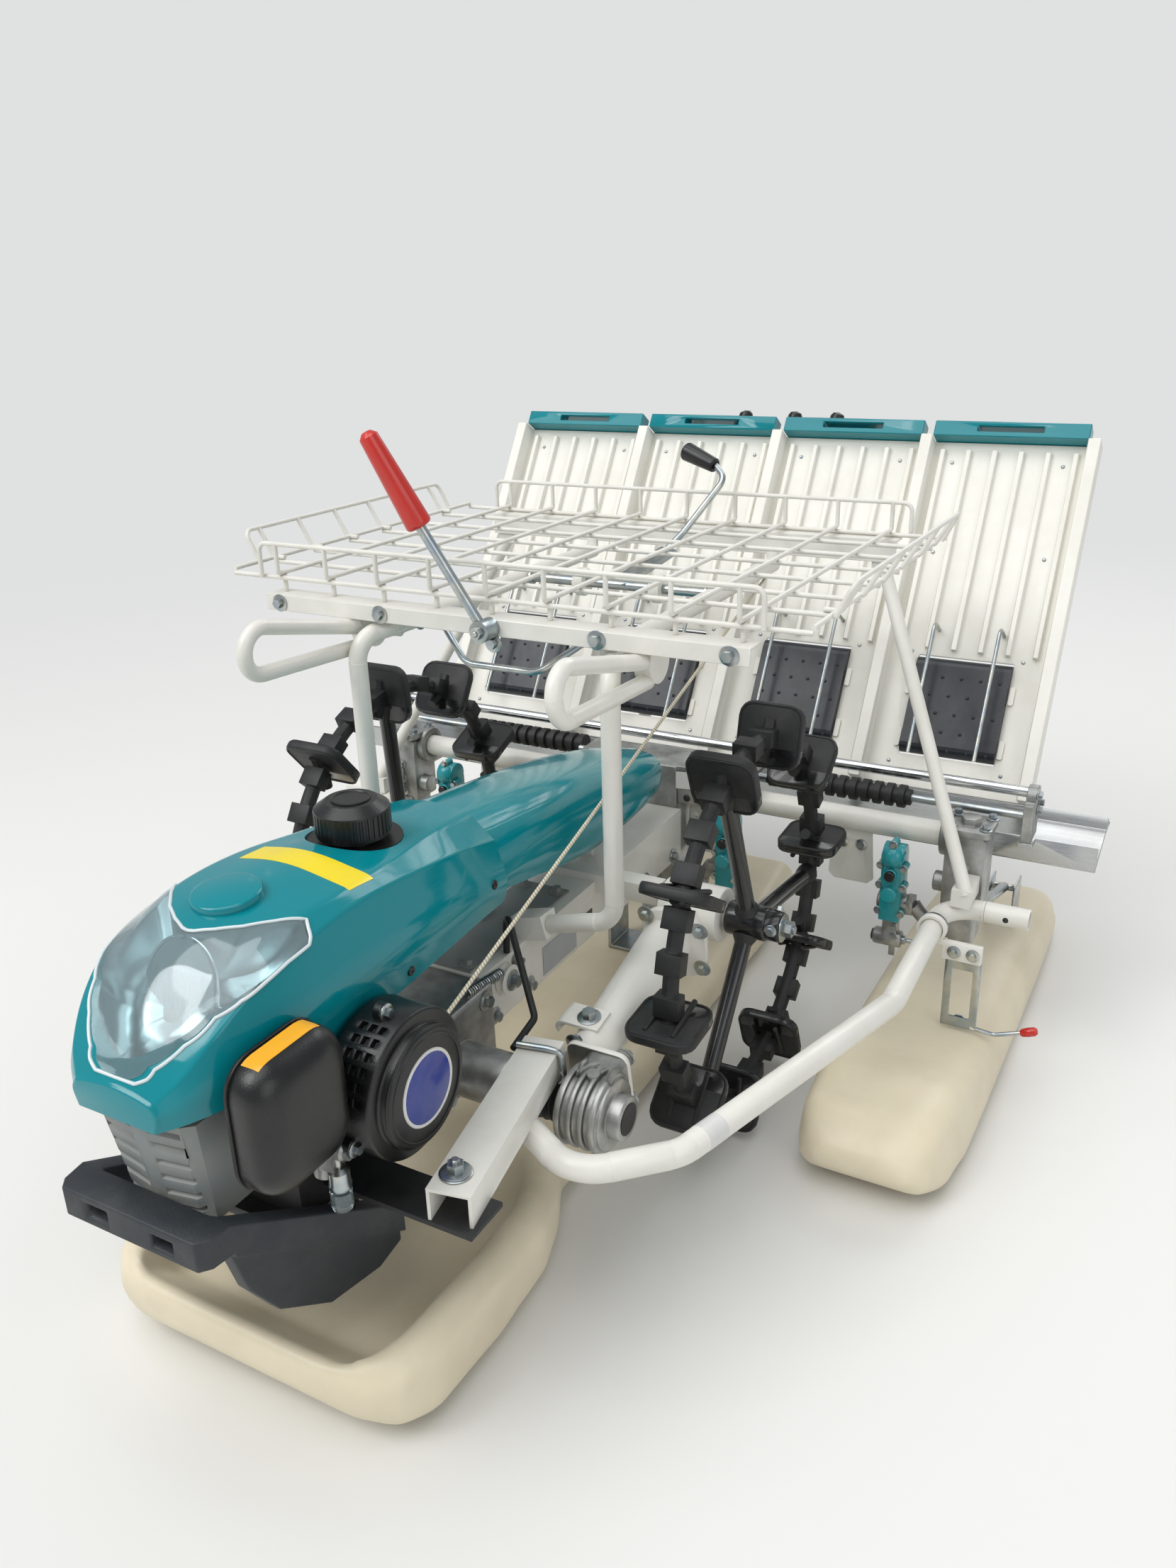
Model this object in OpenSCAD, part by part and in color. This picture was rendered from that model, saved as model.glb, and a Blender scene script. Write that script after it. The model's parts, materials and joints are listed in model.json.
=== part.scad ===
/* [Wheels] */
// Radius from the axle to the tips of the lugs
lug_tip_r = 330; // [300:1:360]
// Sideways distance from the middle of the machine to each wheel's plane
wheel_x = 320; // [318:1:323]
// Number of rubber lugs on a wheel
lug_count = 10; // [8:1:12]
// Width of a lug across the rim
lug_w = 100; // [90:1:102]
// Depth of a lug, measured along a spoke
lug_h = 96; // [80:1:104]
// Thickness of a lug
lug_t = 14; // [10:1:20]
// Width of the rubber rim
rim_w = 36; // [26:1:44]
// Radial thickness of the rubber rim between its blocks
rim_t = 24; // [16:1:30]
// Diameter of a tubular spoke
spoke_d = 26; // [18:1:32]
// Angle that turns the left wheel's lugs to where they rest
left_wheel_turn = 22; // [0:1:36]
// Angle that turns the right wheel's lugs to where they rest
right_wheel_turn = 4; // [0:1:36]

/* [Swing cases] */
// Height of the swing axis over the floor
swing_z = 260; // [250:1:270]
// Distance of the swing axis ahead of the wheel axle
swing_y = 425; // [410:1:440]
// Diameter of the conical tube at the gear case end
swing_tube_front_d = 60; // [54:1:64]
// Diameter of the conical tube at the axle end
swing_tube_rear_d = 76; // [70:1:80]

/* [Engine] */
// Width of the crankcase block
engine_w = 180; // [150:1:200]
// Diameter of the recoil starter housing
recoil_d = 172; // [160:1:180]
// Depth of the recoil starter housing
recoil_depth = 62; // [50:1:70]
// Width of the air cleaner box, front to back
air_box_l = 130; // [116:1:132]
// Height of the air cleaner box
air_box_h = 152; // [140:1:156]

/* [Hood] */
// Wall of the hood and the tail cover
hood_wall = 3; // [2:0.5:4]
// Thickness of the clear headlamp lens
lens_wall = 3; // [2:0.5:4]
// Gap between the lens and the hood round it
lens_gap = 0.6; // [0.5:0.1:1.5]
// Diameter of the round headlamp reflector
reflector_d = 98; // [88:1:100]
// Diameter of the fuel cap
fuel_cap_d = 90; // [80:1:100]
// Height of the fuel cap's ribbed part
fuel_cap_h = 34; // [24:1:40]

/* [Rack] */
// Width of the wire basket
basket_w = 920; // [800:1:960]
// Length of the wire basket, front to back
basket_l = 640; // [560:1:680]
// Height of the basket floor over the ground
basket_z = 838; // [820:1:850]
// Height of the basket's raised rails over its floor
basket_rail_h = 44; // [36:1:60]
// Diameter of the basket's wires
wire_d = 7; // [5:0.5:9]
// Diameter of the white rack tubes
rack_d = 27; // [22:1:32]
// Sideways place of the two rack posts
post_x = 205; // [190:1:215]

/* [Floats] */
// Length of the centre float
centre_float_l = 1500; // [1400:10:1560]
// Half width of the centre float's dished front
centre_float_half = 240; // [220:1:250]
// Length of a side float
side_float_l = 1000; // [940:10:1020]
// Width of a side float with its flange
side_float_w = 240; // [220:1:250]
// Sideways place of the middle of a side float
side_float_x = 548; // [544:1:560]

/* [Planting] */
// Distance between two planted rows
row_pitch = 300; // [290:1:310]
// Diameter of the white cross beam
beam_d = 40; // [36:1:44]
// Height of the cross beam's middle
beam_z = 364; // [360:1:368]
// Distance of the cross beam behind the wheel axle
beam_y = 366; // [360:1:372]
// Sideways place of the two end gear cases
case_x = 563; // [556:1:570]
// Length of the seedling rail
rail_l = 1500; // [1400:10:1540]

/* [Seedling tray] */
// Slope of the tray from the floor, in degrees
tray_slope = 57.6; // [54:0.1:60]
// Length of the tray along its slope
tray_l = 642; // [600:1:660]
// Thickness of the tray with its ribs
tray_t = 22; // [16:1:26]
// Width of one tray window with its belt
belt_w = 170; // [140:1:190]
// Sideways travel of the tray, from end to end
tray_travel = 270; // [240:1:280]

/* [Hidden] */
$fn = 40;

// Small clearances
seat_gap = 0.3;
turn_gap = 2;
weld_gap = 0.1;

// Helpers for directions and smooth rows
function unit(v) = v / norm(v);
function mix(a, b, t) = a + (b - a) * t;
function curve_point(p0, p1, p2, p3, t) =
    0.5 * (2 * p1 + (p2 - p0) * t + (2 * p0 - 5 * p1 + 4 * p2 - p3) * t * t
        + (3 * p1 - p0 - 3 * p2 + p3) * t * t * t);
function smooth_rows(p, k) = [
    for (i = [0:len(p) - 2]) for (j = [0:k - 1])
        curve_point(p[max(i - 1, 0)], p[i], p[i + 1], p[min(i + 2, len(p) - 1)], j / k),
    p[len(p) - 1]];

// A frame with its origin at o, its x axis along ax and its z axis along az
module place(o, ax, az) {
    ay = cross(az, ax);
    multmatrix([[ax.x, ay.x, az.x, o.x], [ax.y, ay.y, az.y, o.y], [ax.z, ay.z, az.z, o.z], [0, 0, 0, 1]])
        children();
}

// Any direction square to v
function square_to(v) = unit(cross(v, abs(v.z) < 0.9 * norm(v) ? [0, 0, 1] : [1, 0, 0]));

// A round bar from a to b
module bar(a, b, d, d_end = 0) {
    place(a, square_to(b - a), unit(b - a))
        cylinder(h = norm(b - a), d1 = d, d2 = d_end > 0 ? d_end : d);
}

// A round bar or tube along points, bent to radius r at each inner point. The straight parts run a
// little way over the bends, which are a hair thinner, so that all of it joins cleanly
bend_lap = 1;
bend_share = 0.98;
module bent_bar(p, d, r) {
    n = len(p);
    turn = [for (i = [0:n - 1]) i == 0 || i == n - 1 ? 0
        : acos(max(-1, min(1, unit(p[i] - p[i - 1]) * unit(p[i + 1] - p[i]))))];
    cut = [for (i = [0:n - 1]) turn[i] == 0 ? 0 : r * tan(turn[i] / 2) - bend_lap];
    for (i = [0:n - 2]) {
        u = unit(p[i + 1] - p[i]);
        bar(p[i] + u * cut[i], p[i + 1] - u * cut[i + 1], d);
    }
    for (i = [1:n - 2]) {
        u = unit(p[i] - p[i - 1]);
        v = unit(p[i + 1] - p[i]);
        inward = unit(v - (u * v) * u);
        start = p[i] - u * (cut[i] + bend_lap);
        place(start + r * inward, -inward, unit(cross(-inward, u)))
            rotate_extrude(angle = turn[i]) translate([r, 0]) circle(d = d * bend_share);
    }
}

// A closed skin through rings that have the same number of points. A strip ring is a thin wall: its
// points run one way along the outside and back along the inside, and its ends are closed in pairs
module loft(rings, strip = false) {
    n = len(rings[0]);
    m = len(rings);
    points = [for (ring = rings) for (p = ring) p];
    sides = [for (i = [0:m - 2]) for (j = [0:n - 1]) each [
        [i * n + j, (i + 1) * n + (j + 1) % n, (i + 1) * n + j],
        [i * n + j, i * n + (j + 1) % n, (i + 1) * n + (j + 1) % n]]];
    first = strip ? [for (j = [0:n / 2 - 2]) each [[j, n - 2 - j, j + 1], [j, n - 1 - j, n - 2 - j]]]
        : [[for (j = [n - 1:-1:0]) j]];
    last = [for (f = first) [for (k = [len(f) - 1:-1:0]) (m - 1) * n + f[k]]];
    polyhedron(points = points, faces = concat(sides, first, last), convexity = 8);
}

// A rounded rectangle drawn as one outline, w along x and h along y
function round_rect(w, h, r, k = 4) = [for (c = [[1, 1, 0], [-1, 1, 90], [-1, -1, 180], [1, -1, 270]])
    for (i = [0:k]) [c[0] * (w / 2 - r) + r * cos(c[2] + 90 * i / k),
        c[1] * (h / 2 - r) + r * sin(c[2] + 90 * i / k)]];

// A piece drawn for the left side of the machine, or mirrored for the right side
module sided(side) { mirror([side < 0 ? 1 : 0, 0, 0]) children(); }

// A block that spans two corners
module block(low, high) { translate(low) cube(high - low); }

// A block along Y with rounded edges in its XZ section
module round_block(low, high, r) {
    size = high - low;
    translate([(low.x + high.x) / 2, low.y, (low.z + high.z) / 2]) rotate([-90, 0, 0])
        linear_extrude(size.y) polygon(round_rect(size.x, size.z, r));
}

// A cylinder along X from x0 to x1
module drum(x0, x1, y, z, d) { translate([x0, y, z]) rotate([0, 90, 0]) cylinder(h = x1 - x0, d = d); }

// A cylinder along Y from y0 to y1
module barrel(x, y0, y1, z, d) { translate([x, y0, z]) rotate([-90, 0, 0]) cylinder(h = y1 - y0, d = d); }

// Wheels
wheel_z = lug_tip_r + 1;
rim_r = lug_tip_r - lug_h / 2 - 4;
hub_d = 52;
hub_w = 64;
hub_cap_w = 22;
axle_d = 30;
axle_clear = 0.05;
blocks_per_lug = 3;

module lug() {
    translate([0, lug_t / 2, lug_tip_r - lug_h / 2]) rotate([90, 0, 0])
        linear_extrude(lug_t) polygon(round_rect(lug_w, lug_h, 22));
}

module wheel(side, turned) {
    color("#26282b") sided(side) translate([wheel_x, 0, wheel_z]) {
        rotate([0, 90, 0]) rotate_extrude() translate([rim_r, 0]) circle(d = rim_t, $fn = 8);
        for (i = [0:lug_count - 1]) rotate([turned + 360 / lug_count * i, 0, 0]) {
            lug();
            for (k = [0:blocks_per_lug - 1]) rotate([360 / lug_count / blocks_per_lug * (k + 0.5), 0, 0])
                translate([0, 0, rim_r + 4]) cube([rim_w, 30, rim_t], center = true);
        }
        difference() {
            union() {
                rotate([0, 90, 0]) cylinder(h = hub_w, d = hub_d, center = true);
                translate([hub_w / 2, 0, 0]) rotate([0, 90, 0]) cylinder(h = hub_cap_w, d = hub_d - 6);
                for (i = [0:2]) rotate([turned + 120 * i, 0, 0]) cylinder(h = rim_r, d = spoke_d);
            }
            rotate([0, 90, 0]) cylinder(h = 3 * hub_w, d = axle_d, center = true);
        }
    }
}

module wheel_left() wheel(1, left_wheel_turn);
module wheel_right() wheel(-1, right_wheel_turn);

// Swing cases: a ribbed gear case on the swing axis, a conical tube and an axle housing
wheel_clear = 7;
lug_in_x = wheel_x - lug_w / 2;
tube_front_x = lug_in_x - wheel_clear - swing_tube_front_d / 2;
tube_rear_x = lug_in_x - wheel_clear - swing_tube_rear_d / 2;
swing_in_x = 168;
pivot_d = 34;
pivot_l = 30;
gear_in_x = 250;
gear_out_x = 314;
gear_d = 92;
boss_end_x = 332;
rib_count_swing = 4;

module swing_case(side) sided(side) {
    front = [tube_front_x, -swing_y, swing_z];
    rear = [tube_rear_x, 0, wheel_z];
    along = unit([0, swing_y, wheel_z - swing_z]);
    color("#c9c9c6") {
        drum(swing_in_x, gear_in_x + 4, -swing_y, swing_z, 44);
        drum(swing_in_x - turn_gap - pivot_l, swing_in_x + 4, -swing_y, swing_z, pivot_d - 2 * axle_clear);
        drum(gear_in_x, gear_out_x, -swing_y, swing_z, gear_d);
        for (i = [0:rib_count_swing - 1]) drum(gear_in_x + 4 + 16 * i, gear_in_x + 11 + 16 * i, -swing_y,
            swing_z,
            gear_d + 12);
        drum(gear_out_x - 2, boss_end_x, -swing_y, swing_z, 58);
        place([gear_in_x + 28, -swing_y, swing_z], [1, 0, 0],
            along) linear_extrude(56) polygon(round_rect(56, 80, 10));
    }
    color("#e9e7e0") {
        place([262, -swing_y, swing_z] + along * 55, [1, 0, 0], along) linear_extrude(8)
            polygon(round_rect(90, 88, 14));
        bar(front + along * 60, rear - along * 88, swing_tube_front_d, swing_tube_rear_d);
        place(rear + [12, 0, 0] - along * 90, [1, 0, 0], along) linear_extrude(10)
            polygon(round_rect(104, 116, 40));
        bar(rear - along * 84, rear - along * 10, swing_tube_rear_d, 70);
        drum(tube_rear_x - 40, wheel_x - hub_w / 2 - wheel_clear, 0, wheel_z, 84);
        place(front + along * 96, [1, 0, 0], along) mirror([0, 1, 0]) translate([-44, 22, 0]) {
            translate([0, 8, 0]) cube([52, 5, 40]);
            rotate([0, 0, 90]) rotate_extrude(angle = 130) translate([8, 0]) square([5, 40]);
        }
    }
    color("#3a3b3d") drum(tube_rear_x, wheel_x + hub_w / 2 + hub_cap_w, 0, wheel_z,
        axle_d - 2 * axle_clear);
}

module swing_case_left() swing_case(1);
module swing_case_right() swing_case(-1);

// Engine
engine_y = -655;
engine_l = 190;
engine_low_z = 262;
engine_top_z = 445;
engine_front_y = engine_y - engine_l / 2;
crank_z = 414;
recoil_x = engine_w / 2 + 40;
air_x = 130;
air_w = 50;
air_cover_w = 6;
air_y = -806;
air_z = 470;
tank_top_z = 559.7;

// One plain block with its side shaft housing, intake elbow and the fuel tank under the hood
module engine_block() {
    color("#2b2d2f") {
        block([-engine_w / 2, engine_front_y, engine_low_z + seat_gap], [engine_w / 2,
            engine_y + engine_l / 2,
            engine_top_z]);
        drum(engine_w / 2 - 1, recoil_x, engine_y, crank_z, 104);
        drum(engine_w / 2 - 10, air_x - seat_gap, engine_front_y - 12, air_z - 40, 44);
        block([-58, engine_y + 55, engine_top_z - 1], [58, fuel_cap_y + 62, tank_top_z]);
    }
}

module recoil_starter() {
    color("#1f2022") difference() {
        union() {
            drum(recoil_x + seat_gap, recoil_x + recoil_depth, engine_y, crank_z, recoil_d);
            drum(recoil_x + recoil_depth, recoil_x + recoil_depth + 14, engine_y, crank_z, recoil_d - 34);
        }
        for (i = [0:5]) for (j = [0:2])
            translate([recoil_x + 20 + 13 * j, engine_y, crank_z]) rotate([20 + 11 * i, 0, 0])
                translate([-4, -5, recoil_d / 2 - 8]) cube([8, 10, 20]);
    }
}

module air_cleaner() {
    color("#202224") {
        translate([air_x, air_y, air_z]) rotate([0, 90, 0]) linear_extrude(air_w)
            polygon(round_rect(air_box_h, air_box_l, 36));
        translate([air_x + air_w, air_y, air_z]) rotate([0, 90, 0]) linear_extrude(air_cover_w)
            polygon(round_rect(air_box_h - 16, air_box_l - 16, 30));
    }
}

// Muffler guard: a grey box with a ridge in its front and two columns of louvres, as
// corner rows: half width, front y, z
guard_low = [60, -850, 318];
guard_high = [72, -868, 455];
louvre_rows = 6;
function guard_ring(g) = [for (p = [[-g.x, engine_front_y - seat_gap], [g.x, engine_front_y - seat_gap],
    [g.x, g.y + 10],
    [g.x - 12, g.y], [0, g.y - 6], [12 - g.x, g.y], [-g.x, g.y + 10]]) [p.x, p.y, g.z]];

module muffler_guard() {
    color("#8d9192") difference() {
        loft([guard_ring(guard_high), guard_ring(guard_low)]);
        for (i = [0:louvre_rows - 1]) for (col = [-1, 1])
            translate([col * 34, -866 + 0.13 * 21 * (louvre_rows - 1 - i), 336 + 21 * i]) rotate([35, 0, 0])
                cube([44, 16, 7], center = true);
    }
}

// Hood sections, front to back: y, roof z, roof half width, crease half width, crease z,
// side half width, side z, skirt half width, skirt z
hood_rows = [
    [-890, 503, 34, 54, 496, 62, 482, 56, 462],
    [-872, 528, 46, 72, 518, 84, 492, 78, 468],
    [-836, 568, 54, 90, 552, 108, 508, 102, 474],
    [-794, 602, 60, 100, 578, 122, 520, 112, 475],
    [-740, 626, 64, 104, 598, 128, 528, 116, 473],
    [-670, 633, 66, 106, 604, 130, 532, 118, 470],
    [-590, 631, 66, 106, 602, 130, 530, 118, 469],
    [-500, 616, 64, 104, 588, 126, 524, 114, 470],
    [-410, 606, 60, 98, 574, 120, 512, 108, 470],
    [-330, 594, 54, 90, 556, 112, 500, 102, 468]];
tail_rows = [
    [-352, 587, 48, 82, 558, 102, 505, 95, 480],
    [-300, 578, 48, 82, 550, 100, 500, 94, 474],
    [-180, 562, 50, 82, 536, 95, 488, 93, 450],
    [-60, 546, 50, 80, 518, 90, 470, 89, 428],
    [80, 520, 48, 76, 494, 84, 450, 82, 422],
    [180, 496, 44, 68, 474, 74, 440, 70, 418],
    [250, 474, 34, 52, 456, 56, 430, 52, 410]];

// Half of a section's outer line, from the skirt up to the middle of the roof
function section_half(r, k) = smooth_rows([[r[7], r[8]], [r[5], r[6]], [r[3], r[4]], [r[2], r[1] - 5],
    [0, r[1]]], k);
function section_line(r, k) = let (half = section_half(r, k)) concat(
    half, [for (i = [len(half) - 2:-1:0]) [-half[i][0], half[i][1]]]);
// The same line moved inward by t along its normals
function inner_line(line, t) = [for (i = [0:len(line) - 1])
    let (d = unit(line[min(i + 1, len(line) - 1)] - line[max(i - 1, 0)])) line[i] + t * [-d[1], d[0]]];
// A C shaped ring at y: outer line one way and inner line back
function shell_ring(r, k, outset, wall) = let (
    line = inner_line(section_line(r, k), -outset),
    back = inner_line(section_line(r, k), wall - outset))
    [for (p = concat(line, [for (i = [len(back) - 1:-1:0]) back[i]])) [p[0], r[0], p[1]]];
// The same ring with its inner line drawn in to a small hole, which makes a front wall
function wall_ring(r, k, outset, y) = let (
    line = inner_line(section_line(r, k), -outset), middle = [0, (r[1] + r[8]) / 2])
    [for (p = concat(line, [for (i = [len(line) - 1:-1:0]) middle + 0.04 * (line[i] - middle)])) [p[0], y,
        p[1]]];
module shell(rows, k, along, outset, wall, nose = false) {
    body = [for (r = smooth_rows(rows, along)) shell_ring(r, k, outset, wall)];
    front = nose ? [wall_ring(rows[0], k, outset, rows[0][0] - wall),
        wall_ring(rows[0], k, outset, rows[0][0] - 0.5)] : [];
    loft(concat(front, body), strip = true);
}

// Space of the headlamp window in the hood, g smaller all round
lens_tip_y = -688;
lens_notch_y = -768;
module lens_space(g) {
    difference() {
        translate([-180, 0, 0]) rotate([90, 0, 90]) linear_extrude(360)
            polygon([[-920, 502 + g], [-889, 504 + g], [-884, 520 + g], [-840, 556 + g], [-802, 575 + g],
                [-747, 585 + g], [lens_tip_y - g, 590 + g], [lens_tip_y - 6 - g, 604], [-760, 660],
                    [-920, 660]]);
        translate([0, 0, 480]) linear_extrude(220)
            polygon([[-46 - g, lens_notch_y + 8 - g], [46 + g, lens_notch_y + 8 - g],
                [97 + g, lens_tip_y - 40 - g],
                [97 + g, -600], [-97 - g, -600], [-97 - g, lens_tip_y - 40 - g]]);
    }
}

module hood() {
    color("#0f8f95") difference() {
        shell(hood_rows, 3, 2, 0, hood_wall, nose = true);
        lens_space(0);
        translate([0, fuel_cap_y, 560]) cylinder(h = 100, d = cap_hole_d);
    }
}

module headlamp_lens() {
    color("#cfe3ea", 0.5) intersection() {
        shell([for (i = [0:5]) hood_rows[i]], 3, 2, 0, lens_wall);
        lens_space(lens_gap);
    }
}

// The round reflector faces forward and a little up, on a post from the muffler guard
module headlamp_reflector() {
    lamp = [0, -785, 560];
    face = unit([0, -0.93, 0.37]);
    post_y = -752;
    color("#d8dadc") {
        place(lamp - face * 24, [1, 0, 0], face) difference() {
            cylinder(h = 24, d1 = 60, d2 = reflector_d);
            translate([0, 0, 3]) cylinder(h = 24, d1 = 54, d2 = reflector_d - 2);
        }
        block([-10, post_y - 10, guard_high.z + seat_gap], [10, post_y, 552]);
        block([-10, lamp.y + 14, 544], [10, post_y, 554]);
    }
}

module tail_cover() {
    color("#0f8f95") shell(tail_rows, 3, 2, 0, hood_wall);
}

// Fuel cap on its neck and drip tray, which stands in the hole of the hood
fuel_cap_y = -494;
cap_hole_d = 118;
drip_z = 597;
cap_low_z = 616;
module fuel_cap() {
    color("#1c1e1f") translate([0, fuel_cap_y, 0]) {
        translate([0, 0, tank_top_z + seat_gap]) cylinder(h = drip_z - tank_top_z, d = 92);
        translate([0, 0, drip_z]) cylinder(h = 12, d = cap_hole_d - 2 * seat_gap);
        translate([0, 0, drip_z + 11]) cylinder(h = cap_low_z - drip_z - 10, d = 64);
        translate([0, 0, cap_low_z]) cylinder(h = fuel_cap_h, d = fuel_cap_d);
        translate([0, 0, cap_low_z + fuel_cap_h]) cylinder(h = 9, d1 = fuel_cap_d, d2 = fuel_cap_d - 26);
    }
}

// Bumper: a moulded U that drops to the rear, with two windows in its front
bumper_y = -905;
bumper_half = 105;
bumper_wall = 28;
bumper_spread = 0.151;
bumper_end_y = -640;
function bumper_out(y) = bumper_half + (y - bumper_y - 12) * bumper_spread;
function bumper_in(y) = bumper_out(y) - bumper_wall;
module bumper() {
    arm_y = bumper_y + 39;
    color("#33383d") intersection() {
        translate([0, 0, 100]) linear_extrude(300) polygon([[-bumper_half + 10, bumper_y],
            [bumper_half - 10, bumper_y],
            [bumper_half, bumper_y + 12], [bumper_out(bumper_end_y), bumper_end_y],
                [bumper_in(bumper_end_y), bumper_end_y],
            [bumper_in(arm_y + 6), arm_y + 6], [bumper_in(arm_y) - 6, arm_y], [6 - bumper_in(arm_y), arm_y],
            [-bumper_in(arm_y + 6), arm_y + 6], [-bumper_in(bumper_end_y), bumper_end_y],
            [-bumper_out(bumper_end_y), bumper_end_y], [-bumper_half, bumper_y + 12]]);
        difference() {
            translate([-200, 0, 0]) rotate([90, 0, 90]) linear_extrude(400)
                polygon([[bumper_y - 5, 315], [bumper_y - 5, 352], [arm_y, 352], [bumper_end_y + 4, 217],
                    [bumper_end_y + 4, 165], [-676, 148], [-750, 153], [-817, 197], [-850, 250],
                        [arm_y - 1, 315]]);
            for (side = [-1, 1]) translate([side * 48 - 15, bumper_y - 10, 324]) cube([30, 60, 16]);
        }
    }
}

// Engine cradle: the plate under the engine, shelves for the side guards and a cross bar for the bumper
shelf_y = -712;
shelf_x = 292;
bar_low_z = 288;
module engine_cradle() {
    cross_y = -690;
    color("#3b3d3f") {
        block([-88, -770, engine_low_z - 12], [88, transmission_y - seat_gap, engine_low_z]);
        block([seat_gap - bumper_in(cross_y), cross_y, 212], [bumper_in(cross_y) - seat_gap, cross_y + 14,
            engine_low_z - 11]);
        for (side = [-1, 1]) sided(side) {
            block([80, -700, engine_low_z - 12], [96, -650, engine_low_z]);
            block([engine_w / 2 + seat_gap, -700, engine_low_z - 2], [96, -650, bar_low_z - seat_gap]);
            block([engine_w / 2 + seat_gap, shelf_y, bar_low_z - 7], [shelf_x, -650, bar_low_z - seat_gap]);
        }
    }
}

// Chassis: the transmission case behind the engine and the white main beam with its brackets
transmission_y = -480;
transmission_end_y = -340;
beam_half = 62;
beam_low_z = 254;
beam_top_z = 345;
rack_foot = [96, -205, 372];
rack_bend = [post_x, -212, 404];
tail_stay_y = tail_rows[4][0] - 8;
tail_stay_z = tail_rows[4][1] - hood_wall - 2 * seat_gap;
module chassis_frame() {
    color("#e9e7e0") {
        block([-beam_half, transmission_end_y + seat_gap, beam_low_z], [beam_half, gearbox_y - seat_gap,
            beam_top_z]);
        block([-170, -10, 351], [170, 26, 357]);
        block([-170, -10, 326], [170, -4, 357]);
        block([-beam_half, -10, beam_top_z - 1], [beam_half, 26, 352]);
        block([-12, tail_stay_y, beam_top_z - 1], [12, tail_stay_y + 8, tail_stay_z]);
        for (side = [-1, 1]) sided(side) place(rack_foot, square_to(rack_foot - rack_bend),
            unit(rack_foot - rack_bend))
            translate([-18, -18, seat_gap]) cube([36, 36, 60]);
    }
}

module transmission_case() {
    end_x = swing_in_x - turn_gap;
    color("#bfc0be") difference() {
        union() {
            block([-84, transmission_y, 215], [84, transmission_end_y, beam_top_z]);
            drum(-end_x, end_x, -swing_y, swing_z, 74);
        }
        for (side = [-1, 1]) sided(side) drum(end_x - pivot_l - 2, end_x + 1, -swing_y, swing_z, pivot_d);
    }
}

// Side guards: a channel bar with a bent tube, one each side
guard_d = 34;
guard_z = 274;
guard_end_x = 678;
guard_end_y = 292;
socket_l = 60;
guard_cut_x = guard_end_x - socket_l - 8;
socket_d = 27;
bar_w = 53;
bar_h = 42;
bar_foot = [261, -706];
bar_dir = unit([-57, 299]);
module side_guard(side) sided(side) {
    color("#e9e7e0") {
        place([bar_foot.x, bar_foot.y, bar_low_z], [bar_dir.y, -bar_dir.x, 0],
            [0, 0, 1]) translate([-bar_w / 2, 0, 0])
            difference() {
                cube([bar_w, 304, bar_h]);
                translate([4, -1, -4]) cube([bar_w - 8, 306, bar_h]);
            }
        bent_bar([[190, -484, guard_z], [330, -562, guard_z], [425, -470, guard_z], [553, -40, guard_z],
            [545, guard_end_y, guard_z], [guard_cut_x, guard_end_y, guard_z]], guard_d, 60);
    }
}

// Outer end of the guard tube, open as a socket for an extension
module guard_end(side) sided(side) color("#e9e7e0") difference() {
    drum(guard_cut_x + seat_gap, guard_end_x, guard_end_y, guard_z, guard_d);
    drum(guard_end_x - socket_l, guard_end_x + 1, guard_end_y, guard_z, socket_d);
}

module side_guard_left() side_guard(1);
module side_guard_right() side_guard(-1);
module guard_end_left() guard_end(1);
module guard_end_right() guard_end(-1);

// Line markers: a clamp on the guard tube, a hanging plate with a window and a wire
marker_y = 196;
marker_x = 547.3;
marker_clear = 0.6;
module line_markers() {
    plate_y = marker_y + 10 + seat_gap;
    for (side = [-1, 1]) sided(side) {
        color("#e9e7e0") difference() {
            union() {
                barrel(marker_x, marker_y, marker_y + 16, guard_z, guard_d + 12);
                block([marker_x + 20, marker_y, 228], [627, marker_y + 10, 258]);
                block([marker_x, marker_y, 251], [marker_x + 24, marker_y + 10, 260]);
            }
            barrel(marker_x, marker_y - 1, marker_y + 17, guard_z, guard_d + 2 * marker_clear);
        }
        color("#aeb6b8") {
            difference() {
                block([571, plate_y, 104], [627, plate_y + 4, 244]);
                block([583, plate_y - 1, 122], [615, plate_y + 5, 208]);
            }
            bent_bar([[618, plate_y + 2, 108], [655, plate_y + 8, 101], [700, plate_y + 12, 116]], 7, 20);
        }
    }
}

// Centre float rows: y, half width, bottom z, rim z, rim width, dish depth
centre_float_y = -805;
centre_rows = [
    [0, 140, 68, 108, 40, 0],
    [14, 196, 42, 116, 44, 0],
    [40, 226, 20, 122, 46, 30],
    [80, 238, 6, 124, 46, 66],
    [210, 240, 0, 120, 46, 66],
    [330, 234, 0, 110, 46, 56],
    [400, 212, 0, 98, 50, 26],
    [470, 176, 0, 90, 60, 0],
    [1050, 172, 0, 88, 60, 0],
    [1300, 172, 0, 92, 60, 0],
    [1500, 150, 26, 96, 50, 0]];
function float_ring(y, w, zb, zt, rw, dish) = let (
    e = min(22, (zt - zb) / 3), inner = w - rw, floor_z = zt - dish)
    [for (p = [[w - e, zb], [w, zb + e], [w, zt - e], [w - e, zt], [inner, zt],
        [inner - min(14, dish / 3), floor_z],
        [-inner + min(14, dish / 3), floor_z], [-inner, zt], [-w + e, zt], [-w, zt - e], [-w, zb + e],
        [-w + e, zb]]) [p[0], y, p[1]]];

module centre_float() {
    k = centre_float_l / 1500;
    color("#e8dfc8") loft([for (r = centre_rows) float_ring(centre_float_y + r[0] * k,
        r[1] * centre_float_half / 240, r[2], r[3], r[4], r[5])]);
}

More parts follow.
